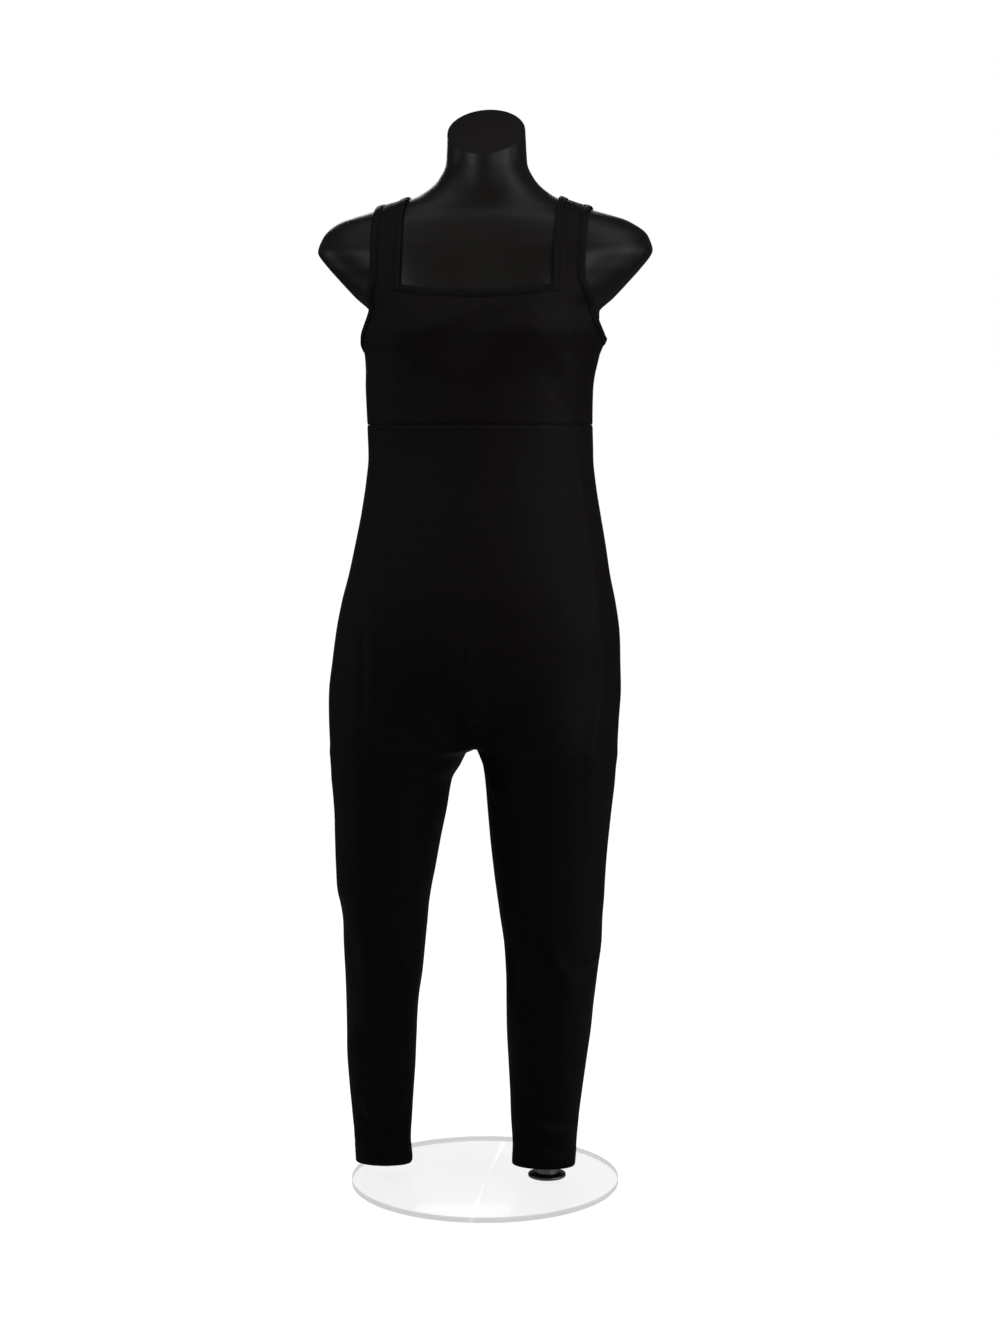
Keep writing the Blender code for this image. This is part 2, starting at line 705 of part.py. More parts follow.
def band_cells(kind, hand):
    """Names of the bodice cells that a band lies on, on one hand of one panel."""
    strap_first = len(ARMHOLE)
    strap_last = strap_first + STRAP_CELLS
    half = strap_last + NECKLINE_HALF_COLUMNS
    top = BODICE_ROWS
    up_strap = range(top - 1, top + STRAP_ROWS)
    if kind == "armhole":
        along = [(hand, column, top - 1) for column in range(strap_first)]
        return along + [(hand, strap_first, row) for row in up_strap]
    along = [(hand, column, top - 1) for column in range(strap_last, half)]
    return along + [(hand, strap_last - 1, row) for row in up_strap]


def build_band(name, panels, kind, hands, material):
    """A folded band on the bodice's edge, from the panels' own points moved out."""
    base, normals, faces = [], [], []
    place = {}
    for panel in panels:
        for hand in hands:
            for cell in band_cells(kind, hand):
                face = []
                for i in panel.cells[cell]:
                    point = panel.points[i]
                    key = (id(panel), i)
                    if key not in place:
                        near = [j for j, other in enumerate(base) if np.linalg.norm(other - point) < JOIN_REACH]
                        if near:
                            place[key] = near[0]
                            base[near[0]] = (base[near[0]] + point) / 2
                            normals[near[0]] = normals[near[0]] + panel.normals[i]
                        else:
                            place[key] = len(base)
                            base.append(point)
                            normals.append(panel.normals[i].copy())
                    face.append(place[key])
                faces.append(tuple(face))
    base = np.array(base)
    normals = np.array(normals)
    normals /= np.linalg.norm(normals, axis=1)[:, None]
    outer = base + normals * (BAND_GAP + BAND_THICKNESS)
    inner = base + normals * BAND_GAP
    points, walls = closed_wall(outer, inner, faces)
    return add_object(name, points, walls, material)


def cutter(name, low, high, size, across):
    """Hidden box whose lower face runs from low to high, for slicing the form."""
    direction = np.array(high) - np.array(low)
    length = np.linalg.norm(direction)
    direction /= length
    outward = np.array([direction[1], -direction[0]]) if across == "x" else np.array([-direction[1], direction[0]])
    long_side, wide, deep = size
    start = np.array(low) if across == "x" else np.array(low) - direction * (long_side - length) / 2
    corners = [start, start + direction * long_side]
    corners += [corners[1] + outward * deep, corners[0] + outward * deep]
    points = []
    for end in (-wide / 2, wide / 2):
        for first, height in corners:
            points.append((first, end, height) if across == "x" else (end, first, height))
    faces = [(0, 1, 2, 3), (7, 6, 5, 4), (0, 4, 5, 1), (1, 5, 6, 2), (2, 6, 7, 3), (3, 7, 4, 0)]
    made = add_object(name, points, faces, make_material(name, (0.5, 0.5, 0.5), 0.5))
    fix_normals(made.data)
    made.hide_render = True
    made.display_type = "WIRE"
    return made


def fix_normals(mesh):
    work = bmesh.new()
    work.from_mesh(mesh)
    bmesh.ops.recalc_face_normals(work, faces=work.faces)
    work.to_mesh(mesh)
    work.free()


def mirrored(made, name):
    """Copy of an object mirrored across x = 0."""
    mesh = made.data.copy()
    mesh.name = name
    for vertex in mesh.vertices:
        vertex.co.x = -vertex.co.x
    mesh.flip_normals()
    copy = bpy.data.objects.new(name, mesh)
    bpy.context.scene.collection.objects.link(copy)
    copy.hide_render = True
    copy.display_type = "WIRE"
    return copy


def ring_around(points, front_points, back_points):
    """Adds a level ring, its front from right to left and its back from left to right."""
    first = len(points)
    points.extend(front_points + back_points)
    return list(range(first, len(points)))


def form_rings(points):
    """Rings from the neck to the crotch. Those under the empire seam lie on the cloth's outer side."""
    half = 2 * LEG_COLUMNS
    rings = []
    for height in FORM_CHEST_ROWS:
        front = [trunk_point(height, math.pi * column / half, FRONT) for column in range(half + 1)]
        back = [trunk_point(height, math.pi * column / half, BACK) for column in range(half - 1, 0, -1)]
        rings.append(ring_around(points, front, back))
    for height in TRUNK_ROWS[1:]:
        front = [hip_point(height, column, FRONT) for column in range(half + 1)]
        back = [hip_point(height, column, BACK) for column in range(half - 1, 0, -1)]
        rings.append(ring_around(points, front, back))
    crotch_ring = rings[-1]
    crotch_ring[half + LEG_COLUMNS] = crotch_ring[LEG_COLUMNS]
    points[crotch_ring[LEG_COLUMNS]][1] = 0.0
    return rings


def stump_rings(points, crotch_ring, leg, end, first):
    """Rings of one thigh stump on the cloth's outer side, from the crotch down to its end."""
    half = 2 * LEG_COLUMNS
    front = [crotch_ring[first + column] for column in range(LEG_COLUMNS + 1)]
    back = [crotch_ring[(2 * half - first - column) % (2 * half)] for column in range(LEG_COLUMNS - 1, 0, -1)]
    rings = [front + back]
    for height in [LEG_FIRST_ROW] + level_rows(LEG_FIRST_ROW, end + STUMP_EDGE_ROUND, STUMP_ROW_COUNT):
        front = [leg_point(leg, height, column, FRONT) for column in range(LEG_COLUMNS + 1)]
        back = [leg_point(leg, height, column, BACK) for column in range(LEG_COLUMNS - 1, 0, -1)]
        rings.append(ring_around(points, front, back))
    return rings


def ring_faces(rings):
    faces = []
    for upper, lower in zip(rings, rings[1:]):
        count = len(upper)
        faces += [(upper[i], lower[i], lower[(i + 1) % count], upper[(i + 1) % count]) for i in range(count)]
    return faces


def stump_end_ring(points, last_ring, end):
    """Smaller ring at the very end of a stump, which rounds its lower edge."""
    centre = np.mean([points[i] for i in last_ring], axis=0)
    ring = []
    for i in last_ring:
        off_centre = points[i] - centre
        off_centre *= 1 - STUMP_EDGE_ROUND / np.linalg.norm(off_centre)
        ring.append(centre + off_centre)
    for point in ring:
        point[2] = end
    return ring_around(points, ring, [])


def build_form(material):
    """Smooth limbless form with a neck, slanted arm faces and two thigh stumps."""
    points = []
    rings = form_rings(points)
    stumps = [stump_rings(points, rings[-1], RIGHT_LEG, STUMP_END_RIGHT, 0),
              stump_rings(points, rings[-1], LEFT_LEG, STUMP_END_LEFT, LEG_COLUMNS)]
    faces = ring_faces(rings) + ring_faces(stumps[0]) + ring_faces(stumps[1])
    normals = point_normals(np.array(points), faces)
    under_cloth = rings[len(FORM_CHEST_ROWS)][0]
    for i in range(under_cloth, len(points)):
        depth_down = min(max((CROTCH - points[i][2]) / (CROTCH - STUMP_END_LEFT), 0.0), 1.0)
        points[i] = points[i] - normals[i] * (CLOTH_OFF_FORM + STUMP_TAPER * depth_down)
    ends = [stump_end_ring(points, stumps[0][-1], STUMP_END_RIGHT),
            stump_end_ring(points, stumps[1][-1], STUMP_END_LEFT)]
    faces += ring_faces([stumps[0][-1], ends[0]]) + ring_faces([stumps[1][-1], ends[1]])
    used = sorted({i for face in faces for i in face})
    place = {old: new for new, old in enumerate(used)}
    triangles = [tuple(place[i] for i in face) for face in split_faces(faces)]
    caps = [tuple(place[i] for i in reversed(rings[0])), tuple(place[i] for i in ends[0]),
            tuple(place[i] for i in ends[1])]
    form = add_object("form_body", [points[i] for i in used], triangles + caps, material)
    fix_normals(form.data)
    arm_cutter = cutter("arm_cutter_left", ARM_CUT_LOW, ARM_CUT_HIGH, ARM_CUTTER, "x")
    neck_cutter = cutter("neck_cutter", NECK_CUT_FRONT, NECK_CUT_BACK, NECK_CUTTER, "y")
    for tool in (arm_cutter, mirrored(arm_cutter, "arm_cutter_right"), neck_cutter):
        cut = form.modifiers.new(tool.name, "BOOLEAN")
        cut.operation = "DIFFERENCE"
        cut.solver = "EXACT"
        cut.object = tool
    return form


def turned_piece(name, profile, centre_x, centre_y, sides, material):
    """Round piece from a profile of (radius, height) rows, bottom to top, with flat ends."""
    points, faces = [], []
    for radius, height in profile:
        for i in range(sides):
            angle = 2 * math.pi * i / sides
            points.append((centre_x + radius * math.cos(angle), centre_y + radius * math.sin(angle), height))
    for row in range(len(profile) - 1):
        for i in range(sides):
            j = (i + 1) % sides
            low, high = row * sides, (row + 1) * sides
            faces.append((low + i, low + j, high + j, high + i))
    faces.append(tuple(reversed(range(sides))))
    faces.append(tuple(range((len(profile) - 1) * sides, len(profile) * sides)))
    return add_object(name, points, faces, material)


def build_stand(glass, steel):
    """Glass plate on the floor, a flanged socket on it, and a rod up into the left stump."""
    edge = BASE_RADIUS - BASE_BEVEL
    plate = [(edge, 0.0), (BASE_RADIUS, BASE_BEVEL), (BASE_RADIUS, BASE_THICKNESS - BASE_BEVEL),
             (edge, BASE_THICKNESS)]
    turned_piece("stand_base", plate, 0.0, 0.0, BASE_SIDES, glass)
    foot = BASE_THICKNESS + TOUCH_GAP
    flange = [(SOCKET_RADIUS, foot), (SOCKET_RADIUS, foot + SOCKET_FLANGE),
              (SOCKET_NECK_RADIUS, foot + SOCKET_SHOULDER), (SOCKET_NECK_RADIUS, foot + SOCKET_HEIGHT)]
    turned_piece("stand_socket", flange, ROD_X, ROD_Y, SOCKET_SIDES, steel)
    rod = [(ROD_RADIUS, foot + SOCKET_HEIGHT + TOUCH_GAP), (ROD_RADIUS, STUMP_END_LEFT - TOUCH_GAP)]
    turned_piece("stand_rod", rod, ROD_X, ROD_Y, ROD_SIDES, steel)


def clear_scene():
    for old in list(bpy.data.objects):
        bpy.data.objects.remove(old, do_unlink=True)


def main():
    clear_scene()
    jersey = make_material("black_jersey", (0.012, 0.011, 0.013), 0.72)
    jersey_band = make_material("black_jersey_band", (0.011, 0.010, 0.012), 0.70)
    plastic = make_material("black_form_plastic", (0.022, 0.022, 0.021), 0.36)
    steel = make_material("brushed_rod_steel", (0.55, 0.55, 0.56), 0.32, metallic=1.0)
    glass = make_material("clear_base_glass", (0.90, 0.94, 0.93), 0.05, alpha=0.3)
    build_form(plastic)
    build_stand(glass, steel)
    lower_panel(FRONT).build("lower_front", jersey)
    lower_panel(BACK).build("lower_back", jersey)
    front = bodice_panel(FRONT)
    back = bodice_panel(BACK)
    front.build("front_bodice", jersey)
    back.build("back_bodice", jersey)
    build_band("neck_binding", (front, back), "neck", (-1, 1), jersey_band)
    build_band("armhole_binding_right", (front, back), "armhole", (-1,), jersey_band)
    build_band("armhole_binding_left", (front, back), "armhole", (1,), jersey_band)


main()
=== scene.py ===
"""Looks of a black unitard on a limbless dress form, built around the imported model.

Lengths are millimetres until a mesh is made. The front faces -Y and +X is the wearer's left.
The cloth and the form follow the same level sections as the solids, on far finer grids.
"""
import math

import bpy
import numpy as np
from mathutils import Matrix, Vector, noise


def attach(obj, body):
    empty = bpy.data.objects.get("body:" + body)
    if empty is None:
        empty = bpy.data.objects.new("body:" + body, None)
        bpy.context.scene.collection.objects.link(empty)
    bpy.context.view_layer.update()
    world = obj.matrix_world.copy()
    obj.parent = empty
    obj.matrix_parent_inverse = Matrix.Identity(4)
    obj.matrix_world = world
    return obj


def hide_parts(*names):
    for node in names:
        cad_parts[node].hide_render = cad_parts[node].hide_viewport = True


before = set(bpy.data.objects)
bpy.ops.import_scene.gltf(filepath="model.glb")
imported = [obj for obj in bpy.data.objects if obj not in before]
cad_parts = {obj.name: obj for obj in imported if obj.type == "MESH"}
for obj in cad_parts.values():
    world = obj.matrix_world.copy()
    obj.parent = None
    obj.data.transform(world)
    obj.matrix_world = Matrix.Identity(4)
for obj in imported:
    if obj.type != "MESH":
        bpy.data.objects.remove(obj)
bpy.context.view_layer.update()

MM = 0.001
FRONT = -1
BACK = 1

# Sizes shared with the solids
SEAM_GAP = 0.3
CLOTH_OFF_FORM = 3.0
BAND_WIDTH = 8.5
EMPIRE_SEAM = 961.0
CROTCH = 560.0
CROTCH_ROUND_TOP = 660.0
COLUMN_SHIFT_TOP = 790.0
LEG_ROUND_BELOW = 440.0
LEG_TOP_ROUNDNESS = 2.35
CROTCH_ROUND_SHARE = 0.22
BRIDGE_POWER = 0.3
HEM_RIGHT = 21.0
HEM_LEFT = 25.0
NECKLINE_FRONT = 1129.0
NECKLINE_SAG = 7.0
NECKLINE_BACK = 1132.0
STRAP_INNER = 93.0
STRAP_OUTER = 131.0
ARMHOLE_STRAP_CORNER = 1136.0
STRAP_RAY_START = (4.0, 1165.0)
STUMP_END_RIGHT = 372.0
STUMP_END_LEFT = 306.0
STUMP_EDGE_ROUND = 8.0
STUMP_TAPER = 3.5
ARM_CUT_LOW = (142.5, 1101.0)
ARM_CUT_HIGH = (203.0, 1166.0)
NECK_CUT_BACK = (58.0, 1354.0)
NECK_CUT_FRONT = (-38.0, 1288.0)

# How the legs are eased into the hips: the step and reach of the leg's slope above the crotch, and the
# reach, pull, distance from a seam and rounds of the evening of the cloth's depth
SLOPE_STEP = 12.0
SLOPE_REACH = 24.0
EVEN_REACH = 16.0
EVEN_PULL = 0.9
EVEN_OFF_SEAM = 6.0
EVEN_ROUNDS = 60

# Sizes that only the looks need
FABRIC = 0.9
HEM_DEPTH = 22.0
HEM_RISE = 0.5
HEM_EDGE_DROP = 0.8
NEEDLE_GROOVE = 0.45
NEEDLE_GROOVE_WIDTH = 1.1
STITCH_LINES = (HEM_DEPTH - 6.0, HEM_DEPTH - 2.0)
HEM_FOLD = 0.9
SEAM_DIP = 0.7
SEAM_DIP_WIDTH = 1.7
EDGE_FADE = 9.0
CUT_EDGE_ROUND = 5.0

# Trunk of the form: its level sections from the crotch to the neck
TRUNK_COLUMNS = ("height", "centre_x", "centre_y", "half_width", "front", "back", "roundness")
TRUNK_ROWS = [
    (560, -14.3, 0, 177.8, 86, 103, 2.20),
    (591, -14.2, 0, 179, 92, 110, 2.20),
    (628, -13.1, 0, 180.5, 97, 116, 2.20),
    (666, -11.3, 0, 178, 101, 117, 2.20),
    (703, -9.4, 0, 175, 103, 113, 2.20),
    (741, -8.1, 0, 168.5, 103, 103, 2.20),
    (778, -6.9, 0, 160, 100, 93, 2.20),
    (816, -5.6, 0, 153, 96, 85, 2.20),
    (853, -5.0, 0, 146, 92, 79, 2.20),
    (891, -5.0, 0, 140, 89, 76, 2.20),
    (922, -5.0, 0, 137, 88, 76, 2.20),
    (961, -6.0, 0, 137, 89, 79, 2.25),
    (1003, -6.5, 0, 138, 92, 84, 2.30),
    (1041, -3.5, 0, 140, 95, 88, 2.30),
    (1072, -1.5, 0, 141, 95, 90, 2.30),
    (1100, 0.0, 0, 143, 92, 90, 2.30),
    (1118, 0.0, 0, 166, 88, 90, 2.32),
    (1136, 0.0, 0, 184, 83, 88, 2.42),
    (1154, 0.0, 0, 199, 78, 85, 2.55),
    (1172, 0.0, 0, 207, 73, 80, 2.65),
    (1191, 0.0, 1, 201, 67, 73, 2.50),
    (1208, -2.5, 2, 181, 61, 66, 2.30),
    (1224, -4.0, 4, 133, 55, 60, 2.05),
    (1242, 0.0, 6, 82, 51, 56, 2.00),
    (1262, 1.5, 8, 59, 49, 53, 2.00),
    (1282, 1.5, 9, 50, 47, 49, 2.00),
    (1322, 1.0, 10, 48, 46, 46, 2.00),
    (1365, -1.0, 11, 46, 45, 45, 2.00),
]

# How far the cloth's side stands off the form above the empire seam
SIDE_EASE_COLUMNS = ("height", "ease")
SIDE_EASE_ROWS = [
    (961, 3.0),
    (1020, 3.0),
    (1045, 5.0),
    (1062, 10.0),
    (1075, 13.0),
    (1100, 13.0),
    (1118, 8.0),
    (1140, 4.0),
    (1160, 3.0),
]
DEPTH_EASE_SHARE = 0.2

# Cloth of each leg, its outer sections from the hem to the crotch
LEG_COLUMNS = ("height", "centre_x", "centre_y", "half_width", "half_depth")
RIGHT_LEG_ROWS = [
    (21, -131.0, 10, 36.0, 34.0),
    (47, -132.5, 10, 36.0, 34.5),
    (84, -133.0, 10, 38.5, 37.5),
    (122, -133.5, 9, 41.5, 40.5),
    (159, -133.5, 8, 44.0, 43.5),
    (197, -133.0, 7, 45.0, 46.0),
    (234, -132.0, 6, 46.5, 48.5),
    (272, -130.0, 5, 49.5, 52.0),
    (309, -129.0, 5, 52.0, 55.0),
    (340, -128.0, 4, 54.0, 58.0),
    (356, -128.5, 4, 56.0, 60.5),
    (372, -129.0, 3, 59.0, 64.0),
    (403, -127.0, 3, 63.0, 67.0),
    (441, -124.0, 4, 67.0, 73.5),
    (478, -120.5, 4, 71.0, 79.5),
    (516, -118.5, 5, 75.5, 86.5),
    (534, -113.6, 6, 81.0, 90.5),
    (553, -109.1, 7, 86.6, 94.2),
    (560, -101.4, 7, 93.8, 95.0),
]
LEFT_LEG_ROWS = [
    (25, 75.0, 10, 40.0, 37.0),
    (47, 76.0, 10, 40.5, 38.0),
    (84, 76.3, 10, 43.0, 40.5),
    (122, 78.0, 9, 46.0, 43.5),
    (159, 79.5, 8, 49.5, 46.5),
    (197, 81.0, 7, 53.0, 49.5),
    (234, 82.5, 6, 55.0, 52.5),
    (272, 85.0, 5, 57.5, 55.5),
    (309, 86.5, 5, 61.0, 59.5),
    (347, 84.5, 4, 64.5, 63.5),
    (366, 84.0, 4, 66.5, 65.5),
    (403, 82.5, 3, 70.0, 69.5),
    (441, 81.5, 4, 74.0, 75.5),
    (478, 81.8, 4, 77.5, 81.5),
    (516, 82.5, 5, 81.0, 87.5),
    (534, 82.2, 6, 82.5, 90.5),
    (553, 80.5, 7, 86.1, 94.2),
    (560, 79.4, 7, 87.0, 95.0),
]

# Soft mounds of the bust, one on each side
BUST_X = 82.0
BUST_HEIGHT = 1080.0
BUST_RISE = 13.0
BUST_SPREAD_X = 38.0
BUST_SPREAD_UP = 46.0
BUST_SPREAD_DOWN = 30.0

# Armhole's lower edge from the side seam to the strap: how far in front of the side seam or behind
# it, and its height there on each of the four edges. The back is scooped out further.
ARMHOLE_COLUMNS = ("away", "front_right", "front_left", "back_right", "back_left")
ARMHOLE = [
    (0.0, 1059.0, 1067.0, 1059.0, 1067.0),
    (16.0, 1060.0, 1069.0, 1060.0, 1067.5),
    (31.0, 1065.0, 1076.0, 1065.0, 1071.0),
    (46.0, 1077.0, 1091.0, 1076.0, 1080.0),
    (59.0, 1098.0, 1109.0, 1095.0, 1097.0),
    (67.0, 1117.0, 1122.0, 1114.0, 1115.0),
]

# Folds and creases. Each follows a line of places (x, height) in the front view. width and rise are
# in millimetres, a negative rise is a trough, and beside is the share of the rise that the cloth
# gives back next to it, on the side that beside's sign names (1 is to the left of the line's way).
FOLD_COLUMNS = ("side", "line", "width", "rise", "beside")
FOLDS = [
    # bodice front: strain lines from the neckline, and the soft drag to the empire seam
    (FRONT, ((-58, 1074), (-5, 1094), (27, 1103), (52, 1106)), 7, 1.2, -0.5),
    (FRONT, ((14, 970), (30, 993), (48, 1017)), 8, 0.9, 0.4),
    (FRONT, ((-96, 1052), (-70, 1030), (-52, 1000)), 12, -0.9, -0.3),
    (FRONT, ((96, 1050), (80, 1026), (66, 1000)), 12, -0.9, 0.3),
    (FRONT, ((108, 1046), (113, 1005), (116, 964)), 8, 2.0, -0.6),
    (FRONT, ((-128, 1040), (-124, 1000), (-126, 966)), 9, 1.2, 0.4),
    # lower front: the crisp ridge down the left hip, and its fainter twin
    (FRONT, ((116, 957), (127, 867), (137, 805), (146, 728), (150, 681), (149, 634), (142, 573),
             (138, 502), (134, 440)), 6.0, 3.4, 0.0),
    (FRONT, ((-142, 862), (-141, 747), (-141, 623), (-142, 549), (-144, 430)), 4.0, -1.2, 0.3),
    (FRONT, ((30, 862), (46, 888), (58, 906)), 8, 1.0, 0.4),
    # crotch: the valley, the ridge across its foot and the pocket beside it
    (FRONT, ((0, 742), (-12, 690), (-14, 640), (-24, 592)), 9, -1.8, 0.8),
    (FRONT, ((-30, 580), (-14, 589), (11, 608), (42, 629)), 7, 2.6, -0.7),
    (FRONT, ((-2, 576), (26, 568), (52, 556), (78, 552)), 7, 2.4, -0.8),
    (FRONT, ((6, 540), (20, 512), (27, 490), (32, 462)), 6, 2.8, 0.7),
    (FRONT, ((-66, 606), (-50, 582), (-40, 560)), 8, 1.2, 0.6),
    (FRONT, ((-96, 640), (-70, 610), (-46, 588)), 8, 1.3, -0.6),
    # left leg: long soft drapes under the stump, the knee dent and the ankle crumple
    (FRONT, ((38, 430), (39, 330), (41, 230)), 9, -2.2, -0.6),
    (FRONT, ((62, 350), (83, 298), (104, 250)), 9, -3.2, 0.9),
    (FRONT, ((122, 294), (132, 285), (143, 280)), 6, -2.6, 0.6),
    (FRONT, ((100, 300), (108, 250), (104, 190)), 10, 1.8, -0.5),
    (FRONT, ((52, 104), (84, 88), (118, 82)), 8, -3.2, -0.9),
    (FRONT, ((54, 124), (86, 132), (114, 148)), 10, 2.4, 0.3),
    (FRONT, ((80, 56), (96, 49), (108, 52)), 6, -2.0, 0.6),
    (FRONT, ((62, 220), (58, 170), (66, 120)), 10, 2.0, -0.5),
    (FRONT, ((70, 60), (66, 44), (68, 28)), 8, 1.4, 0.4),
    # right leg
    (FRONT, ((-150, 340), (-146, 270), (-140, 180)), 12, 2.4, -0.6),
    (FRONT, ((-118, 330), (-112, 250), (-114, 150)), 11, -2.2, 0.6),
    (FRONT, ((-160, 206), (-146, 196), (-128, 199)), 8, -1.6, 0.5),
    (FRONT, ((-166, 108), (-155, 84), (-138, 72)), 8, -2.4, 0.8),
    (FRONT, ((-168, 70), (-150, 60), (-128, 66)), 8, -1.8, -0.7),
    (FRONT, ((-128, 120), (-122, 80), (-126, 40)), 9, 1.6, -0.4),
    (FRONT, ((-92, 300), (-94, 240), (-98, 160)), 9, 1.8, 0.5),
    # bodice back: strain lines across the shoulder blades and soft rolls at the waist
    (BACK, ((-88, 1070), (-40, 1086), (-6, 1090)), 9, 1.1, -0.4),
    (BACK, ((86, 1066), (44, 1080), (12, 1084)), 9, 1.0, 0.4),
    (BACK, ((-70, 1000), (-20, 990), (34, 994)), 9, 1.2, 0.5),
    (BACK, ((20, 1018), (62, 1012), (94, 1024)), 8, 0.9, -0.4),
    # lower back: the hollow of the waist gathers in low rolls, then drags to the seat's foot
    (BACK, ((-92, 936), (-30, 926), (30, 930), (84, 940)), 10, 1.5, -0.5),
    (BACK, ((-70, 902), (-10, 896), (60, 908)), 9, 1.3, 0.5),
    (BACK, ((-14, 700), (-13, 650), (-18, 600)), 13, -1.3, 0.5),
    (BACK, ((-120, 596), (-76, 582), (-36, 590)), 9, 2.0, -0.7),
    (BACK, ((96, 590), (52, 576), (6, 588)), 9, 2.2, 0.7),
    (BACK, ((-138, 560), (-96, 540), (-52, 548)), 9, 1.6, -0.6),
    (BACK, ((124, 556), (84, 534), (40, 546)), 9, 1.7, 0.6),
    # back of the legs
    (BACK, ((-128, 340), (-116, 270), (-106, 190)), 12, 2.5, 0.6),
    (BACK, ((-150, 320), (-152, 240), (-146, 150)), 11, -2.2, -0.5),
    (BACK, ((-158, 134), (-132, 112), (-106, 104)), 9, -2.6, 0.8),
    (BACK, ((-150, 80), (-128, 66), (-108, 74)), 8, 1.8, 0.5),
    (BACK, ((60, 310), (78, 240), (92, 170)), 12, 2.6, -0.6),
    (BACK, ((110, 330), (114, 250), (106, 160)), 11, -2.2, 0.5),
    (BACK, ((50, 112), (74, 90), (102, 84)), 9, -2.8, 0.8),
    (BACK, ((48, 240), (53, 150), (58, 60)), 11, 1.9, 0.4),
    (BACK, ((66, 60), (86, 52), (106, 58)), 8, 1.6, -0.5),
]
FOLD_STEPS = 14
FOLD_UNEVEN = 0.25

# Soft waves of the cloth: how high, and how long across and down
RIPPLES = [
    {"rise": 1.1, "across": 46.0, "down": 120.0, "seed": 3.1},
    {"rise": 0.5, "across": 22.0, "down": 48.0, "seed": 7.7},
]
RIPPLE_ON_FORM = 0.28


class Sections:
    """A table of values by height, read on smooth curves that never overshoot its rows."""

    def __init__(self, columns, rows):
        self.columns = columns
        self.rows = np.array(sorted(rows), float)

    def at(self, name, height):
        places = self.rows[:, 0]
        values = self.rows[:, self.columns.index(name)]
        steps = np.diff(places)
        slopes = np.diff(values) / steps
        product = slopes[:-1] * slopes[1:]
        total = np.where(product > 0, slopes[:-1] + slopes[1:], 1.0)
        tangents = np.concatenate([[0.0], np.where(product > 0, 2 * product / total, 0.0), [0.0]])
        height = np.clip(height, places[0], places[-1])
        i = np.clip(np.searchsorted(places, height, side="right") - 1, 0, len(steps) - 1)
        t = (height - places[i]) / steps[i]
        start = (1 + 2 * t) * (1 - t) ** 2 * values[i] + t * (1 - t) ** 2 * steps[i] * tangents[i]
        end = t * t * (3 - 2 * t) * values[i + 1] + t * t * (t - 1) * steps[i] * tangents[i + 1]
        return start + end


TRUNK = Sections(TRUNK_COLUMNS, TRUNK_ROWS)
SIDE_EASE = Sections(SIDE_EASE_COLUMNS, SIDE_EASE_ROWS)
RIGHT_LEG = Sections(LEG_COLUMNS, RIGHT_LEG_ROWS)
LEFT_LEG = Sections(LEG_COLUMNS, LEFT_LEG_ROWS)


def smooth_step(value, low, high):
    t = np.clip((value - low) / (high - low), 0.0, 1.0)
    return t * t * (3 - 2 * t)


def smooth_least(a, b, width):
    """The lesser of two values, rounded where they meet."""
    near = np.maximum(width - np.abs(a - b), 0.0) / width
    return np.minimum(a, b) - near * near * width / 4


def bust_rise(x, height):
    """How far the bust stands in front of the trunk's plain section."""
    spread = np.where(height > BUST_HEIGHT, BUST_SPREAD_UP, BUST_SPREAD_DOWN)
    up_down = np.exp(-0.5 * ((height - BUST_HEIGHT) / spread) ** 2)
    right = np.exp(-0.5 * ((x + BUST_X) / BUST_SPREAD_X) ** 2)
    left = np.exp(-0.5 * ((x - BUST_X) / BUST_SPREAD_X) ** 2)
    return BUST_RISE * up_down * (right + left)


def trunk_depth(height, side):
    return TRUNK.at("front" if side == FRONT else "back", height)


def trunk_points(height, angle, side, off_form=0.0):
    """Points of trunk sections. The angle runs from the wearer's right side, 0, to the left, pi."""
    ease = np.maximum(off_form, SIDE_EASE.at("ease", height)) if off_form > 0 else 0.0
    power = 2.0 / TRUNK.at("roundness", height)
    cosine = np.cos(angle)
    sine = np.maximum(np.sin(angle), 0.0)
    half = TRUNK.at("half_width", height) + ease
    depth = trunk_depth(height, side) + off_form + (ease - off_form) * DEPTH_EASE_SHARE
    x = TRUNK.at("centre_x", height) - half * np.sign(cosine) * np.abs(cosine) ** power
    y = side * depth * sine ** power
    if side == FRONT:
        y = y - bust_rise(x, height) * sine
    y = y + TRUNK.at("centre_y", height)
    return np.stack(np.broadcast_arrays(x, y, height), axis=-1)


def section_depth(share, roundness):
    """Depth of a section at a share of its half width, as a share of its full depth."""
    return np.maximum(1 - np.minimum(np.abs(share), 1.0) ** roundness, 0.0) ** (1 / roundness)


def leg_depth(leg, height, share, side):
    """Forward place on a leg: round low down, squarer at the top where the two legs join."""
    t = np.clip((height - LEG_ROUND_BELOW) / (CROTCH - LEG_ROUND_BELOW), 0.0, 1.0)
    depth = section_depth(share, 2.0 + (LEG_TOP_ROUNDNESS - 2.0) * t * t)
    return (side * leg.at("half_depth", height) + leg.at("centre_y", height)) * depth


def leg_points(leg, height, column, side):
    """Points on the cloth of a leg. column runs from its right side, 0, to its left, 1."""
    share = -np.cos(np.pi * column)
    x = leg.at("centre_x", height) + leg.at("half_width", height) * share
    y = leg_depth(leg, height, share, side)
    return np.stack(np.broadcast_arrays(x, y, height), axis=-1)


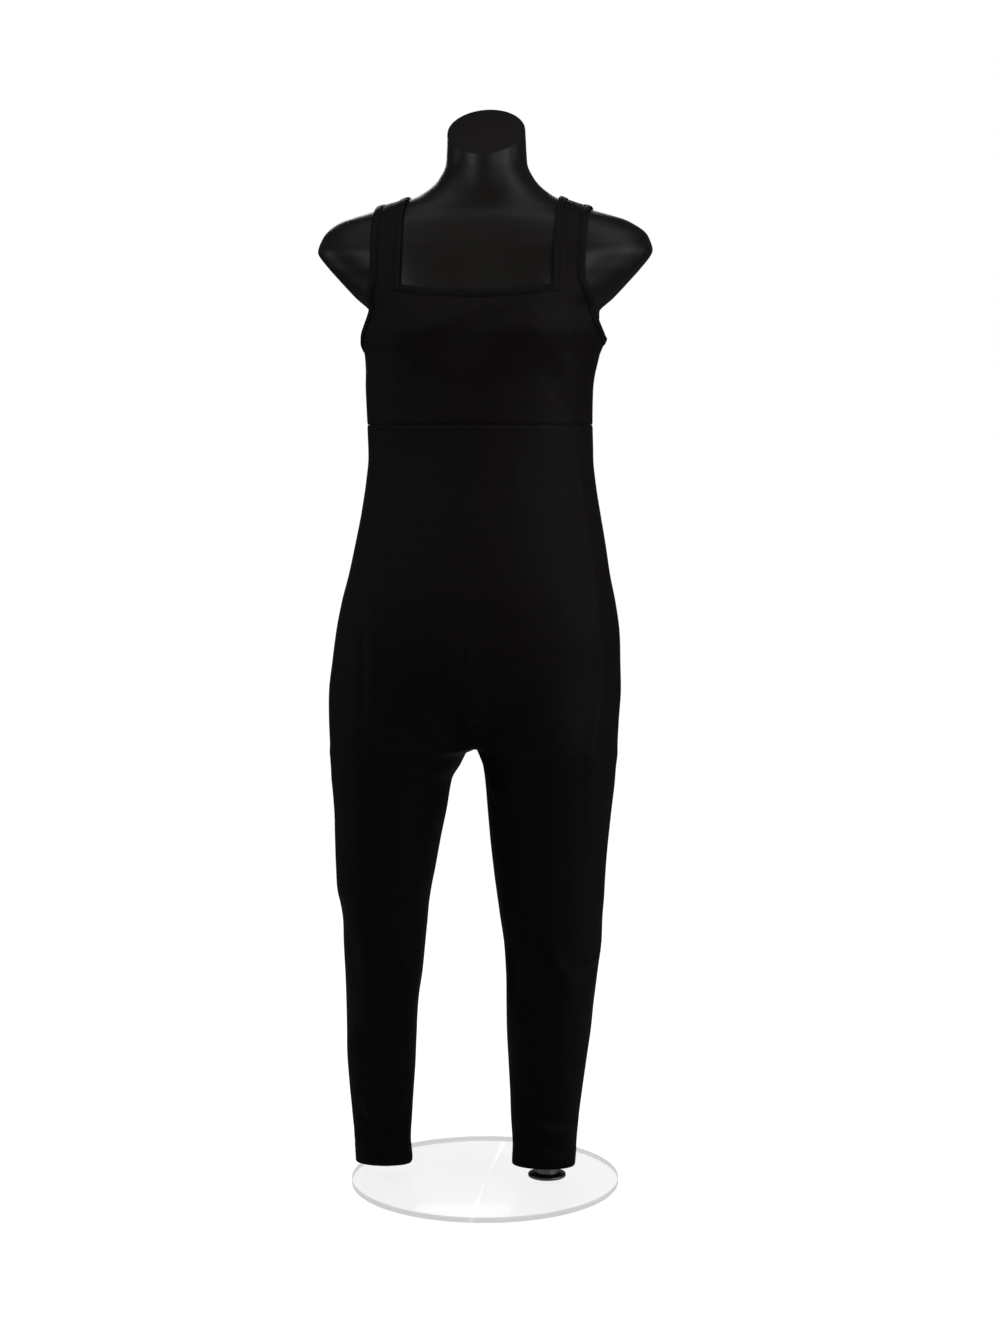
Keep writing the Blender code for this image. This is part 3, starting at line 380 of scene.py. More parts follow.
def hip_points(height, column, side):
    """Points below the empire seam, closing in to two legs. column runs from 0, right, to 2, left."""
    whole = trunk_points(height, np.pi * column / 2, side, CLOTH_OFF_FORM)
    centre = TRUNK.at("centre_x", height)
    half = TRUNK.at("half_width", height) + CLOTH_OFF_FORM
    crotch_centre = TRUNK.at("centre_x", CROTCH)
    crotch_half = TRUNK.at("half_width", CROTCH) + CLOTH_OFF_FORM
    on_right = column <= 1
    leg_column = np.where(on_right, column, column - 1)
    leg_share = -np.cos(np.pi * leg_column)
    right = leg_points(RIGHT_LEG, CROTCH, leg_column, side)
    left = leg_points(LEFT_LEG, CROTCH, leg_column, side)
    on_leg = np.where(on_right[..., None], right, left)
    shift = 1 - smooth_step(height, CROTCH_ROUND_TOP, COLUMN_SHIFT_TOP)
    share = (1 - shift) * (whole[..., 0] - centre) / half
    share = share + shift * (on_leg[..., 0] - crotch_centre) / crotch_half
    share = np.where(column == 0, -1.0, np.where(column == 2, 1.0, share))
    depth = trunk_depth(height, side) + CLOTH_OFF_FORM
    y = side * depth * section_depth(share, TRUNK.at("roundness", height))
    t = np.clip((CROTCH_ROUND_TOP - height) / (CROTCH_ROUND_TOP - CROTCH), 0.0, 1.0)
    rounded = 1 - np.sqrt(1 - t * t)
    even = t * t * (3 - 2 * t)
    near = np.exp(-((np.abs(column - 1) / CROTCH_ROUND_SHARE) ** 2))
    weight = near * rounded + (1 - near) * even
    to_middle = np.where(on_right, leg_share > 0, leg_share < 0)
    bridged = np.where(to_middle, leg_share * weight ** BRIDGE_POWER, leg_share)
    right_y = leg_depth(RIGHT_LEG, CROTCH, bridged, side)
    left_y = leg_depth(LEFT_LEG, CROTCH, bridged, side)
    x = np.where(height <= CROTCH, on_leg[..., 0], centre + half * share)
    right_low = leg_points(RIGHT_LEG, CROTCH - SLOPE_STEP, leg_column, side)
    left_low = leg_points(LEFT_LEG, CROTCH - SLOPE_STEP, leg_column, side)
    slope = (on_leg[..., 1] - np.where(on_right, right_low[..., 1], left_low[..., 1])) / SLOPE_STEP
    over = height - CROTCH
    y = (1 - weight) * y + weight * np.where(on_right, right_y, left_y)
    y = y + weight * slope * over * np.exp(-over / SLOPE_REACH)
    return np.stack(np.broadcast_arrays(x, y, height), axis=-1)


def point_normals(points, faces):
    """Unit normal at each point, the mean of the faces around it."""
    corners = points[faces]
    across = np.cross(corners[:, 2] - corners[:, 0], corners[:, 3] - corners[:, 1])
    normals = np.zeros_like(points)
    for corner in range(4):
        np.add.at(normals, faces[:, corner], across)
    return normals / np.maximum(np.linalg.norm(normals, axis=1), 1e-9)[:, None]


def smooth_path(places, steps):
    """Points on a smooth curve through a few places."""
    places = np.array(places, float)
    padded = np.vstack([2 * places[0] - places[1], places, 2 * places[-1] - places[-2]])
    at = np.linspace(0, len(places) - 1, steps)
    i = np.minimum(at.astype(int), len(places) - 2)
    t = (at - i)[:, None]
    a, b, c, d = (padded[i + offset] for offset in range(4))
    squared = (2 * a - 5 * b + 4 * c - d) * t ** 2
    cubed = (3 * b - 3 * c + d - a) * t ** 3
    return 0.5 * (2 * b + (c - a) * t + squared + cubed)


def one_fold(fold, x, height, phase):
    """Rise of one fold at many places of the front view."""
    path = smooth_path(fold["line"], FOLD_STEPS)
    best = np.full(x.shape, 1e9)
    away = np.zeros(x.shape)
    along = np.zeros(x.shape)
    for step in range(FOLD_STEPS - 1):
        way = path[step + 1] - path[step]
        t = np.clip(((x - path[step, 0]) * way[0] + (height - path[step, 1]) * way[1]) / (way @ way), 0, 1)
        off_x = x - path[step, 0] - t * way[0]
        off_height = height - path[step, 1] - t * way[1]
        distance = np.hypot(off_x, off_height)
        closer = distance < best
        best = np.where(closer, distance, best)
        left = np.sign(way[0] * off_height - way[1] * off_x)
        away = np.where(closer, distance * left, away)
        along = np.where(closer, (step + t) / (FOLD_STEPS - 1), along)
    width = fold["width"] * (1 + FOLD_UNEVEN * np.sin(5.0 * along + phase))
    crest = np.exp(-((away / width) ** 2))
    next_to = away - np.sign(fold["beside"]) * 1.8 * width
    crest = crest - abs(fold["beside"]) * np.exp(-((next_to / (1.2 * width)) ** 2))
    ends = np.sqrt(np.sin(np.pi * np.clip(along, 0.0, 1.0)))
    ends = ends * (1 + FOLD_UNEVEN * np.sin(9.0 * along + 2 * phase))
    return fold["rise"] * crest * ends


def fold_rise(points, side):
    """Sum of the folds at many points of one side."""
    total = np.zeros(len(points))
    for number, row in enumerate(FOLDS):
        fold = dict(zip(FOLD_COLUMNS, row))
        if fold["side"] != side:
            continue
        line = np.array(fold["line"], float)
        reach = 5 * fold["width"]
        low = line.min(0) - reach
        high = line.max(0) + reach
        seen = points[:, [0, 2]]
        near = np.flatnonzero(((seen > low) & (seen < high)).all(1))
        total[near] += one_fold(fold, points[near, 0], points[near, 2], 1.7 * number)
    return total


def ripple_rise(points, side):
    """Soft uneven waves, strong where the legs hang free and faint over the form."""
    free_right = 1 - smooth_step(points[:, 2], STUMP_END_RIGHT - 30, STUMP_END_RIGHT + 40)
    free_left = 1 - smooth_step(points[:, 2], STUMP_END_LEFT - 30, STUMP_END_LEFT + 40)
    free = np.where(points[:, 0] < -30, free_right, free_left)
    total = np.zeros(len(points))
    for ripple in RIPPLES:
        place = points / (ripple["across"], ripple["across"], ripple["down"])
        place[:, 1] += ripple["seed"] + 3 * side
        total += ripple["rise"] * np.array([noise.noise(Vector(at)) for at in place])
    return total * (RIPPLE_ON_FORM + (1 - RIPPLE_ON_FORM) * free)


class Cloth:
    """One cut piece of cloth: points of its outer side, knit places on it, and its faces."""

    def __init__(self, side):
        self.side = side
        self.points = np.zeros((0, 3))
        self.knit = np.zeros((0, 2))
        self.free = np.zeros(0)
        self.seam = np.zeros(0)
        self.faces = np.zeros((0, 4), int)

    def add_grid(self, points, knit, free, seam, top_row=None):
        """Adds a grid of points in rows and columns. free lets folds in, and seam draws the cloth in.

        top_row holds the numbers of points that are there already and make up the grid's first row.
        """
        rows, columns = points.shape[:2]
        index = len(self.points) + np.arange(rows * columns).reshape(rows, columns)
        self.points = np.vstack([self.points, points.reshape(-1, 3)])
        self.knit = np.vstack([self.knit, knit.reshape(-1, 2)])
        self.free = np.concatenate([self.free, free.ravel()])
        self.seam = np.concatenate([self.seam, seam.ravel()])
        if top_row is not None:
            index = np.vstack([top_row, index])
        self.add_faces(index)
        return index

    def add_faces(self, index, turned=False):
        faces = np.stack([index[:-1, :-1], index[1:, :-1], index[1:, 1:], index[:-1, 1:]], axis=-1)
        faces = faces.reshape(-1, 4)
        if (self.side == BACK) != turned:
            faces = faces[:, ::-1]
        self.faces = np.vstack([self.faces, faces])

    def shape(self):
        """Moves the points by the folds, ripples and seams, and works out the normals."""
        normals = point_normals(self.points, self.faces)
        rise = (fold_rise(self.points, self.side) + ripple_rise(self.points, self.side)) * self.free
        rise -= SEAM_DIP * self.seam
        self.points = self.points + normals * rise[:, None]
        self.normals = point_normals(self.points, self.faces)

    def inner(self, thickness, keep_y, keep_height):
        """Points of the inner side. On a seam they keep the outer side's place across the seam."""
        inner = self.points - self.normals * np.reshape(thickness, (-1, 1))
        inner[keep_y, 1] = self.points[keep_y, 1]
        inner[keep_height, 2] = self.points[keep_height, 2]
        return inner


def near_edge(distance):
    """Seam pull at a distance from it: 1 on the seam."""
    return np.exp(-((distance / SEAM_DIP_WIDTH) ** 2))


def away_from(distance):
    """0 on an edge, rising to 1 further off."""
    return 1 - np.exp(-((distance / EDGE_FADE) ** 2))


def row_distances(points):
    """How far each point of a grid is along its row from the row's first and last points."""
    steps = np.linalg.norm(np.diff(points, axis=1), axis=2)
    first = np.concatenate([np.zeros((len(points), 1)), np.cumsum(steps, axis=1)], axis=1)
    return first, first[:, -1:] - first


def link_object(name, points, faces, material, smooth=True):
    """Object of points in millimetres."""
    mesh = bpy.data.meshes.new(name)
    mesh.from_pydata((np.asarray(points) * MM).tolist(), [], [tuple(face) for face in faces])
    mesh.validate()
    if smooth:
        mesh.shade_smooth()
    mesh.materials.append(material)
    made = bpy.data.objects.new(name, mesh)
    bpy.context.scene.collection.objects.link(made)
    return made


def rim_faces(faces, count):
    """Faces that join the open edges of a grid to those of its copy, count points further on."""
    starts = faces.ravel()
    ends = np.roll(faces, -1, axis=1).ravel()
    edges = set(zip(starts.tolist(), ends.tolist()))
    return [(b, a, a + count, b + count) for a, b in sorted(edges) if (b, a) not in edges]


def wall_object(name, outer, inner, faces, knit, material):
    """Closed wall between two like grids, with the place of each point in the knit."""
    count = len(outer)
    walls = faces.tolist() + (faces[:, ::-1] + count).tolist() + rim_faces(faces, count)
    made = link_object(name, np.vstack([outer, inner]), walls, material)
    places = np.zeros((2 * count, 3), np.float32)
    places[:, :2] = np.vstack([knit, knit])
    attribute = made.data.attributes.new("knit_mm", "FLOAT_VECTOR", "POINT")
    attribute.data.foreach_set("vector", places.ravel())
    return made


# Rows and columns of the fine grids
LEG_MIDDLE_COLUMNS = 80
SEAM_COLUMNS = (0.0, 0.006, 0.014, 0.026)
TRUNK_ROW_GAP = 4.6
LEG_ROW_GAP = 4.5
HEM_ROW_GAP = 1.3
SEAM_ROWS = (0.0, 0.7, 1.6, 3.0, 5.0, 8.0)
CROTCH_ROWS = (0.0, 0.15, 0.6, 1.6, 3.2, 6.0, 10.0, 15.0)


def rows_down(top, bottom, gap):
    """Even rows from top to bottom, both included."""
    return np.linspace(top, bottom, max(2, int(round(abs(top - bottom) / gap)) + 1))


def leg_columns():
    near = np.array(SEAM_COLUMNS)
    return np.concatenate([near, np.linspace(0.04, 0.96, LEG_MIDDLE_COLUMNS), 1 - near[::-1]])


def trunk_heights():
    top = EMPIRE_SEAM - SEAM_GAP / 2 - np.array(SEAM_ROWS)
    bottom = CROTCH + np.array(CROTCH_ROWS)[::-1]
    return np.concatenate([top, rows_down(top[-1], bottom[0], TRUNK_ROW_GAP)[1:-1], bottom])


def leg_heights(hem):
    upper = rows_down(CROTCH - 3, hem + HEM_DEPTH + 4, LEG_ROW_GAP)
    return np.concatenate([upper, rows_down(upper[-1], hem, HEM_ROW_GAP)[1:]])


def even_depth(cloth, height):
    """Eases the depth of the cloth near a height, so that the legs run on into the hips with no ledge."""

    depth = cloth.points[:, 1]
    upper = cloth.faces[:, [0, 3]].ravel()
    lower = cloth.faces[:, [1, 2]].ravel()
    starts = np.concatenate([upper, lower])
    ends = np.concatenate([lower, upper])
    stiff = 1 / np.linalg.norm(cloth.points[starts] - cloth.points[ends], axis=1)
    total = np.bincount(starts, weights=stiff, minlength=len(depth))
    pull = np.exp(-(((cloth.points[:, 2] - height) / EVEN_REACH) ** 2))
    pull = EVEN_PULL * pull * (1 - np.exp(-((depth / EVEN_OFF_SEAM) ** 2)))
    for _ in range(EVEN_ROUNDS):
        mean = np.bincount(starts, weights=stiff * depth[ends], minlength=len(depth)) / total
        depth = depth + pull * (mean - depth)
    cloth.points[:, 1] = depth


def lower_cloth(side):
    """Front or back from the empire seam to both hems, cut in one piece."""
    cloth = Cloth(side)
    leg_places = leg_columns()
    places = np.concatenate([leg_places, 1 + leg_places[1:]])
    heights = trunk_heights()
    trunk = hip_points(heights[:, None], places[None, :], side)
    middle = len(leg_places) - 1
    trunk[:, [0, -1], 1] = side * SEAM_GAP / 2
    trunk[-1, middle, 1] = side * SEAM_GAP / 2
    reach = row_distances(trunk[-1:])[0][0]
    reach = reach - reach[middle]
    knit = np.stack(np.broadcast_arrays(reach[None, :], heights[:, None]), axis=-1)
    from_right, from_left = row_distances(trunk)
    from_side = np.minimum(from_right, from_left)
    from_top = EMPIRE_SEAM - heights[:, None]
    free = away_from(from_side) * away_from(from_top)
    seam = np.maximum(near_edge(from_side), near_edge(from_top))
    trunk_index = cloth.add_grid(trunk, knit, free, seam)
    cloth.hem_rows = {}
    legs = (("right", RIGHT_LEG, HEM_RIGHT, 0), ("left", LEFT_LEG, HEM_LEFT, middle))
    for name, leg, hem, first in legs:
        heights = leg_heights(hem)
        points = leg_points(leg, heights[:, None], leg_places[None, :], side)
        points[:, [0, -1], 1] = side * SEAM_GAP / 2
        columns = slice(first, first + middle + 1)
        knit = np.stack(np.broadcast_arrays(reach[None, columns], heights[:, None]), axis=-1)
        from_right, from_left = row_distances(points)
        from_side = np.minimum(from_right, from_left)
        free = away_from(from_side)
        index = cloth.add_grid(points, knit, free, near_edge(from_side), trunk_index[-1, columns])
        cloth.hem_rows[name] = (index[1:], heights)
    even_depth(cloth, CROTCH)
    cloth.shape()
    return cloth


def hem_rise(height, hem):
    """Extra height of the turned-up hem's outer side, and a groove where each needle ran."""
    up = height - hem
    rise = HEM_RISE * (1 - smooth_step(up, HEM_DEPTH - 1, HEM_DEPTH + 1.5))
    for line in STITCH_LINES:
        rise = rise - NEEDLE_GROOVE * np.exp(-(((up - line) / NEEDLE_GROOVE_WIDTH) ** 2))
    return rise - HEM_EDGE_DROP * (1 - smooth_step(up, -0.5, 1.6))


def finish_lower(cloth, name, material):
    """The lower panel with its hems turned up, as a closed wall."""
    thickness = np.full(len(cloth.points), FABRIC)
    for leg, hem in (("right", HEM_RIGHT), ("left", HEM_LEFT)):
        index, heights = cloth.hem_rows[leg]
        rise = hem_rise(heights, hem)
        low = heights - hem < HEM_DEPTH + 2
        rows = index[low]
        cloth.points[rows] += cloth.normals[rows] * rise[low][:, None, None]
        folded = HEM_FOLD * (1 - smooth_step(heights[low] - hem, HEM_DEPTH - 1, HEM_DEPTH + 1))
        thickness[rows] += folded[:, None]
    seam_columns = np.abs(np.abs(cloth.points[:, 1]) - SEAM_GAP / 2) < 1.2
    keep_y = seam_columns & (cloth.free < 1e-6)
    at_top = np.abs(cloth.knit[:, 1] - (EMPIRE_SEAM - SEAM_GAP / 2)) < 1e-6
    cloth.points[keep_y, 1] = cloth.side * SEAM_GAP / 2
    cloth.points[at_top, 2] = EMPIRE_SEAM - SEAM_GAP / 2
    inner = cloth.inner(thickness, keep_y, at_top)
    return wall_object(name, cloth.points, inner, cloth.faces, cloth.knit, material)


def section_lines(heights, side, off_form=CLOTH_OFF_FORM):
    """Trunk sections from the centre to the wearer's left side seam, with their lengths so far."""
    angles = np.linspace(math.pi / 2, math.pi, 91)
    heights = np.reshape(np.asarray(heights, float), (-1, 1))
    lines = trunk_points(heights, angles[None, :], side, off_form)
    steps = np.linalg.norm(np.diff(lines, axis=1), axis=2)
    return lines, np.concatenate([np.zeros((len(lines), 1)), np.cumsum(steps, axis=1)], axis=1)


def full_reach(height, side):
    return float(section_lines([height], side)[1][0, -1])


def reach_at_x(height, x, side):
    lines, along = section_lines([height], side)
    return float(np.interp(x, lines[0, :, 0] - TRUNK.at("centre_x", height), along[0]))


def reach_at_y(height, away, side):
    lines, along = section_lines([height], side)
    return float(np.interp(-away, -np.abs(lines[0, :, 1]), along[0]))


def points_at_reach(heights, reaches, side):
    """Points of the bodice, each at a height and a distance round the body from the centre."""
    lines, along = section_lines(heights, side)
    found = np.zeros((len(heights), 3))
    for i, reach in enumerate(reaches):
        for axis in range(3):
            found[i, axis] = np.interp(min(abs(reach), along[i, -1]), along[i], lines[i, :, axis])
    return found


# The bodice's coarse places: columns from the side seam to the centre, rows from the empire seam up
BODICE_ROWS = 8
NECKLINE_HALF_COLUMNS = 5
STRAP_ROWS = 10
STRAP_SETTLE_ROWS = 4
STRAP_FIRST = len(ARMHOLE)
STRAP_LAST = STRAP_FIRST + 4
CENTRE_COLUMN = STRAP_LAST + NECKLINE_HALF_COLUMNS


def bodice_outline(side, hand):
    """Top edge, the line a band's width under it and the bottom, as (reach, height) by column."""
    neckline = NECKLINE_FRONT if side == FRONT else NECKLINE_BACK
    edge = ("front" if side == FRONT else "back") + ("_right" if hand < 0 else "_left")
    column = ARMHOLE_COLUMNS.index(edge)
    top = [(reach_at_y(row[column], row[0], side), row[column]) for row in ARMHOLE]
    top[0] = (full_reach(top[0][1], side), top[0][1])
    strap_middle = (STRAP_OUTER + STRAP_INNER) / 2
    strap = [STRAP_OUTER, STRAP_OUTER - BAND_WIDTH, strap_middle, STRAP_INNER + BAND_WIDTH, STRAP_INNER]
    for i, x in enumerate(strap):
        height = ARMHOLE_STRAP_CORNER + (neckline - ARMHOLE_STRAP_CORNER) * min(i / 3, 1)
        top.append((reach_at_x(height, x, side), height))
    inner_reach = top[-1][0]
    sag = NECKLINE_SAG if side == FRONT else 0.0
    for i in range(1, NECKLINE_HALF_COLUMNS + 1):
        to_corner = 1 - i / NECKLINE_HALF_COLUMNS
        top.append((inner_reach * to_corner, neckline - sag * (1 - to_corner ** 2)))
    below = []
    for i, (reach, height) in enumerate(top):
        if i == 0:
            below.append((full_reach(height - BAND_WIDTH, side), height - BAND_WIDTH))
        elif i < STRAP_FIRST:
            along = np.array(top[i + 1]) - np.array(top[i - 1])
            along /= np.linalg.norm(along)
            below.append((reach - BAND_WIDTH * along[1], height + BAND_WIDTH * along[0]))
        elif i in (STRAP_FIRST, STRAP_FIRST + 1):
            outer = np.array(top[STRAP_FIRST - 1])
            along = np.array(top[STRAP_FIRST]) - outer
            on_edge = outer + along * (0.45 if i == STRAP_FIRST else 0.75)
            along /= np.linalg.norm(along)
            below.append((on_edge[0] - BAND_WIDTH * along[1], on_edge[1] + BAND_WIDTH * along[0]))
        else:
            below.append((reach, height - BAND_WIDTH))
    full = full_reach(EMPIRE_SEAM, side)
    outer_reach = full - reach_at_x(EMPIRE_SEAM, STRAP_OUTER - 8, side)
    bottom = []
    for i, (reach, _) in enumerate(top):
        if i < STRAP_FIRST:
            bottom.append((full - outer_reach * i / STRAP_FIRST, EMPIRE_SEAM))
        else:
            bottom.append(((full - outer_reach) * reach / top[STRAP_FIRST][0], EMPIRE_SEAM))
    return np.array(top), np.array(below), np.array(bottom)


def read_places(places, columns, curved):
    """Places at fractional columns: on straight lines, or on a smooth curve up to the strap."""
    numbers = np.arange(len(places))
    found = np.stack([np.interp(columns, numbers, places[:, axis]) for axis in range(2)], axis=-1)
    if not curved:
        return found
    fine = 60
    curve = smooth_path(places[:STRAP_FIRST + 1], fine * STRAP_FIRST + 1)
    at = np.linspace(0, STRAP_FIRST, len(curve))
    round_part = np.stack([np.interp(columns, at, curve[:, axis]) for axis in range(2)], axis=-1)
    return np.where((columns < STRAP_FIRST)[..., None], round_part, found)


def outside_form(points):
    """Positive outside the form's trunk, negative inside it."""
    x, y, height = points[..., 0], points[..., 1], points[..., 2]
    off_y = y - TRUNK.at("centre_y", height)
    front = TRUNK.at("front", height) + bust_rise(x, height)
    depth = np.where(off_y < 0, front, TRUNK.at("back", height))
    power = TRUNK.at("roundness", height)
    across = np.abs(x - TRUNK.at("centre_x", height)) / TRUNK.at("half_width", height)
    return across ** power + (np.abs(off_y) / depth) ** power - 1


def over_shoulder(x, turn):
    """Points of the strap at fixed x. turn is 0 straight ahead and pi / 2 straight up."""
    start_y, start_height = STRAP_RAY_START
    near = np.full(x.shape, 5.0)
    far = np.full(x.shape, 140.0)

    def at(distance):
        y = start_y - distance * np.cos(turn)
        return np.stack([x, y, start_height + distance * np.sin(turn)], axis=-1)

    for _ in range(40):
        middle = (near + far) / 2
        inside = outside_form(at(middle)) < 0
        near = np.where(inside, middle, near)
        far = np.where(inside, far, middle)
    points = at(near)
    slope = np.zeros_like(points)
    for axis, step in enumerate(0.5 * np.eye(3)):
        slope[..., axis] = outside_form(points + step) - outside_form(points - step)
    return points + slope / np.linalg.norm(slope, axis=-1, keepdims=True) * CLOTH_OFF_FORM


def bodice_points(columns, rows, side, hand):
    """Points of the bodice's outer side at fractional columns and rows of one hand."""
    columns = np.asarray(columns, float)
    rows = np.asarray(rows, float)
    shape = columns.shape
    columns = columns.ravel()
    rows = rows.ravel()
    top, below, bottom = bodice_outline(side, hand)
    top_at = read_places(top, columns, True)
    below_at = read_places(below, columns, True)
    bottom_at = read_places(bottom, columns, False)
    share = np.clip(rows / (BODICE_ROWS - 1), 0.0, 1.0)[:, None]
    band = np.clip(rows - (BODICE_ROWS - 1), 0.0, 1.0)[:, None]
    place = bottom_at + (below_at - bottom_at) * share + (top_at - below_at) * band
    side_place = bottom[0] + (below[0] - bottom[0]) * share + (top[0] - below[0]) * band
    seam_reach = section_lines(place[:, 1], side)[1][:, -1]
    to_seam = np.clip(1 - columns, 0.0, 1.0)
    reach = place[:, 0] + to_seam * (seam_reach - side_place[:, 0])
    points = points_at_reach(place[:, 1], reach, side)
    if hand < 0:
        points[:, 0] = 2 * TRUNK.at("centre_x", points[:, 2]) - points[:, 0]
    on_strap = np.flatnonzero(rows > BODICE_ROWS)
    if len(on_strap):
        start = points[on_strap]
        up = rows[on_strap] - BODICE_ROWS
        first_turn = np.arctan2(start[:, 2] - STRAP_RAY_START[1], np.abs(start[:, 1] - STRAP_RAY_START[0]))
        turn = first_turn + (math.pi / 2 - first_turn) * up / STRAP_ROWS
        if side == BACK:
            first_turn = math.pi - first_turn
            turn = math.pi - turn
        settle = start - over_shoulder(start[:, 0], first_turn)
        keep = (1 - smooth_step(up, 0.0, 1.4 * STRAP_SETTLE_ROWS))[:, None]
        moved = over_shoulder(start[:, 0], turn) + settle * keep
        ends = up > STRAP_ROWS - 1e-6
        moved[ends, 1] = STRAP_RAY_START[0] + side * SEAM_GAP / 2
        points[on_strap] = moved
    return points.reshape(*shape, 3)


# Fine steps in each coarse column or row of a bodice, and about how wide and tall those are
BODICE_FINE = 7
BODICE_COLUMN_WIDTH = 11.0
BODICE_ROW_HEIGHT = 20.0
SIDE_SEAM_TOP = 1100.0
SHOULDER_SEAM_FROM = 1180.0


def bodice_free(columns, rows):
    """How far folds are let in: not on the side seam, the empire seam or the straps' ends."""
    from_seam = columns * BODICE_COLUMN_WIDTH
    from_empire = rows * BODICE_ROW_HEIGHT
    below_straps = 1 - smooth_step(rows, BODICE_ROWS - 1.5, BODICE_ROWS + 1)
    return away_from(from_seam) * away_from(from_empire) * below_straps


def bodice_cloth(side):
    """Front or back bodice from the empire seam to the neckline and armholes, with both half straps."""
    cloth = Cloth(side)
    seam_rows = np.array(SEAM_ROWS[:-1]) / BODICE_ROW_HEIGHT
    fine_rows = np.arange(2, BODICE_FINE * 7 + 1) / BODICE_FINE
    body_rows = np.concatenate([seam_rows, fine_rows, 7 + np.array([0.25, 0.5, 0.75, 1.0])])
    fine_columns = np.arange(3, BODICE_FINE * CENTRE_COLUMN + 1) / BODICE_FINE
    fine = np.concatenate([[0, 0.06, 0.14, 0.26], fine_columns])
    hands = np.concatenate([np.full(len(fine), -1), np.full(len(fine) - 1, 1)])
    columns = np.concatenate([fine, fine[::-1][1:]])
    grid_columns, grid_rows = np.meshgrid(columns, body_rows)
    half = len(fine)
    right = bodice_points(grid_columns[:, :half], grid_rows[:, :half], side, -1)
    left = bodice_points(grid_columns[:, half:], grid_rows[:, half:], side, 1)
    points = np.concatenate([right, left], axis=1)
    points[0, :, 2] = EMPIRE_SEAM + SEAM_GAP / 2
    points[:, [0, -1], 1] = side * SEAM_GAP / 2
    bottom = points[0]
    reach = np.concatenate([[0.0], np.cumsum(np.linalg.norm(np.diff(bottom, axis=0), axis=1))])
    reach = reach - reach[half - 1]
    knit = np.stack([np.broadcast_to(reach[None, :], grid_rows.shape), points[..., 2]], axis=-1)
    free = bodice_free(grid_columns, grid_rows)
    near_empire = near_edge(points[..., 2] - EMPIRE_SEAM)
    seam = np.maximum(near_edge(grid_columns * BODICE_COLUMN_WIDTH), near_empire)
    index = cloth.add_grid(points, knit, free, seam)
    strap_fine = np.arange(1, BODICE_FINE * STRAP_ROWS + 1) / BODICE_FINE + BODICE_ROWS
    for hand in (-1, 1):
        on_strap = np.flatnonzero((hands == hand) & (columns >= STRAP_FIRST) & (columns <= STRAP_LAST))
        strap_columns, strap_rows = np.meshgrid(columns[on_strap], strap_fine)
        points = bodice_points(strap_columns, strap_rows, side, hand)
        steps = np.linalg.norm(np.diff(points, axis=0), axis=2)
        up = np.concatenate([np.zeros((1, len(on_strap))), np.cumsum(steps, axis=0)])
        knit = np.stack([np.broadcast_to(reach[None, on_strap], up.shape),
                         up + cloth.knit[index[-1, on_strap], 1][None, :]], axis=-1)
        free = bodice_free(strap_columns, strap_rows)
        seam = np.zeros(free.shape)
        cloth.add_grid(points, knit, free, seam, index[-1, on_strap])
    cloth.faces = cloth.faces[:, ::-1]
    cloth.shape()
    return cloth


def finish_bodice(cloth, name, material):
    """A bodice as a closed wall, its seams kept in their planes."""
    knit_row = np.abs(cloth.points[:, 2] - (EMPIRE_SEAM + SEAM_GAP / 2)) < 0.3
    below_armhole = cloth.points[:, 2] < SIDE_SEAM_TOP
    at_side = (np.abs(cloth.points[:, 1]) < 1.5) & below_armhole & (cloth.free < 1e-6)
    shoulder_y = STRAP_RAY_START[0] + cloth.side * SEAM_GAP / 2
    on_shoulder_plane = np.abs(cloth.points[:, 1] - shoulder_y) < 0.1
    at_shoulder = on_shoulder_plane & (cloth.points[:, 2] > SHOULDER_SEAM_FROM)
    cloth.points[at_side & ~knit_row, 1] = cloth.side * SEAM_GAP / 2
    inner = cloth.inner(np.full(len(cloth.points), FABRIC), at_side | at_shoulder, knit_row)
    return wall_object(name, cloth.points, inner, cloth.faces, cloth.knit, material)


# Folded band in section: in from the cloth's edge, and out from its face, going round once
BAND_PROFILE = [
    (8.5, 0.12), (8.45, 0.75), (8.1, 1.05), (7.6, 1.1), (7.15, 0.78), (6.95, 0.72), (6.75, 0.78),
    (6.3, 1.12), (5.2, 1.35), (3.8, 1.45), (2.4, 1.45), (1.2, 1.32), (0.3, 1.1), (-0.4, 0.7),
    (-0.75, 0.1), (-0.75, -0.5), (-0.45, -1.1), (0.2, -1.45), (1.5, -1.5), (4.0, -1.45), (6.5, -1.35),
    (6.6, -1.05), (4.0, -1.0), (1.5, -1.0), (0.3, -0.95), (-0.1, -0.5), (-0.05, 0.0), (0.3, 0.12),
    (2.4, 0.12), (5.2, 0.12),
]
BAND_STITCH_IN = 6.95
BAND_STITCH_LIFT = 0.86
BAND_CENTRE_DEPTH = 5.0
BAND_CENTRE_DROP = 30.0


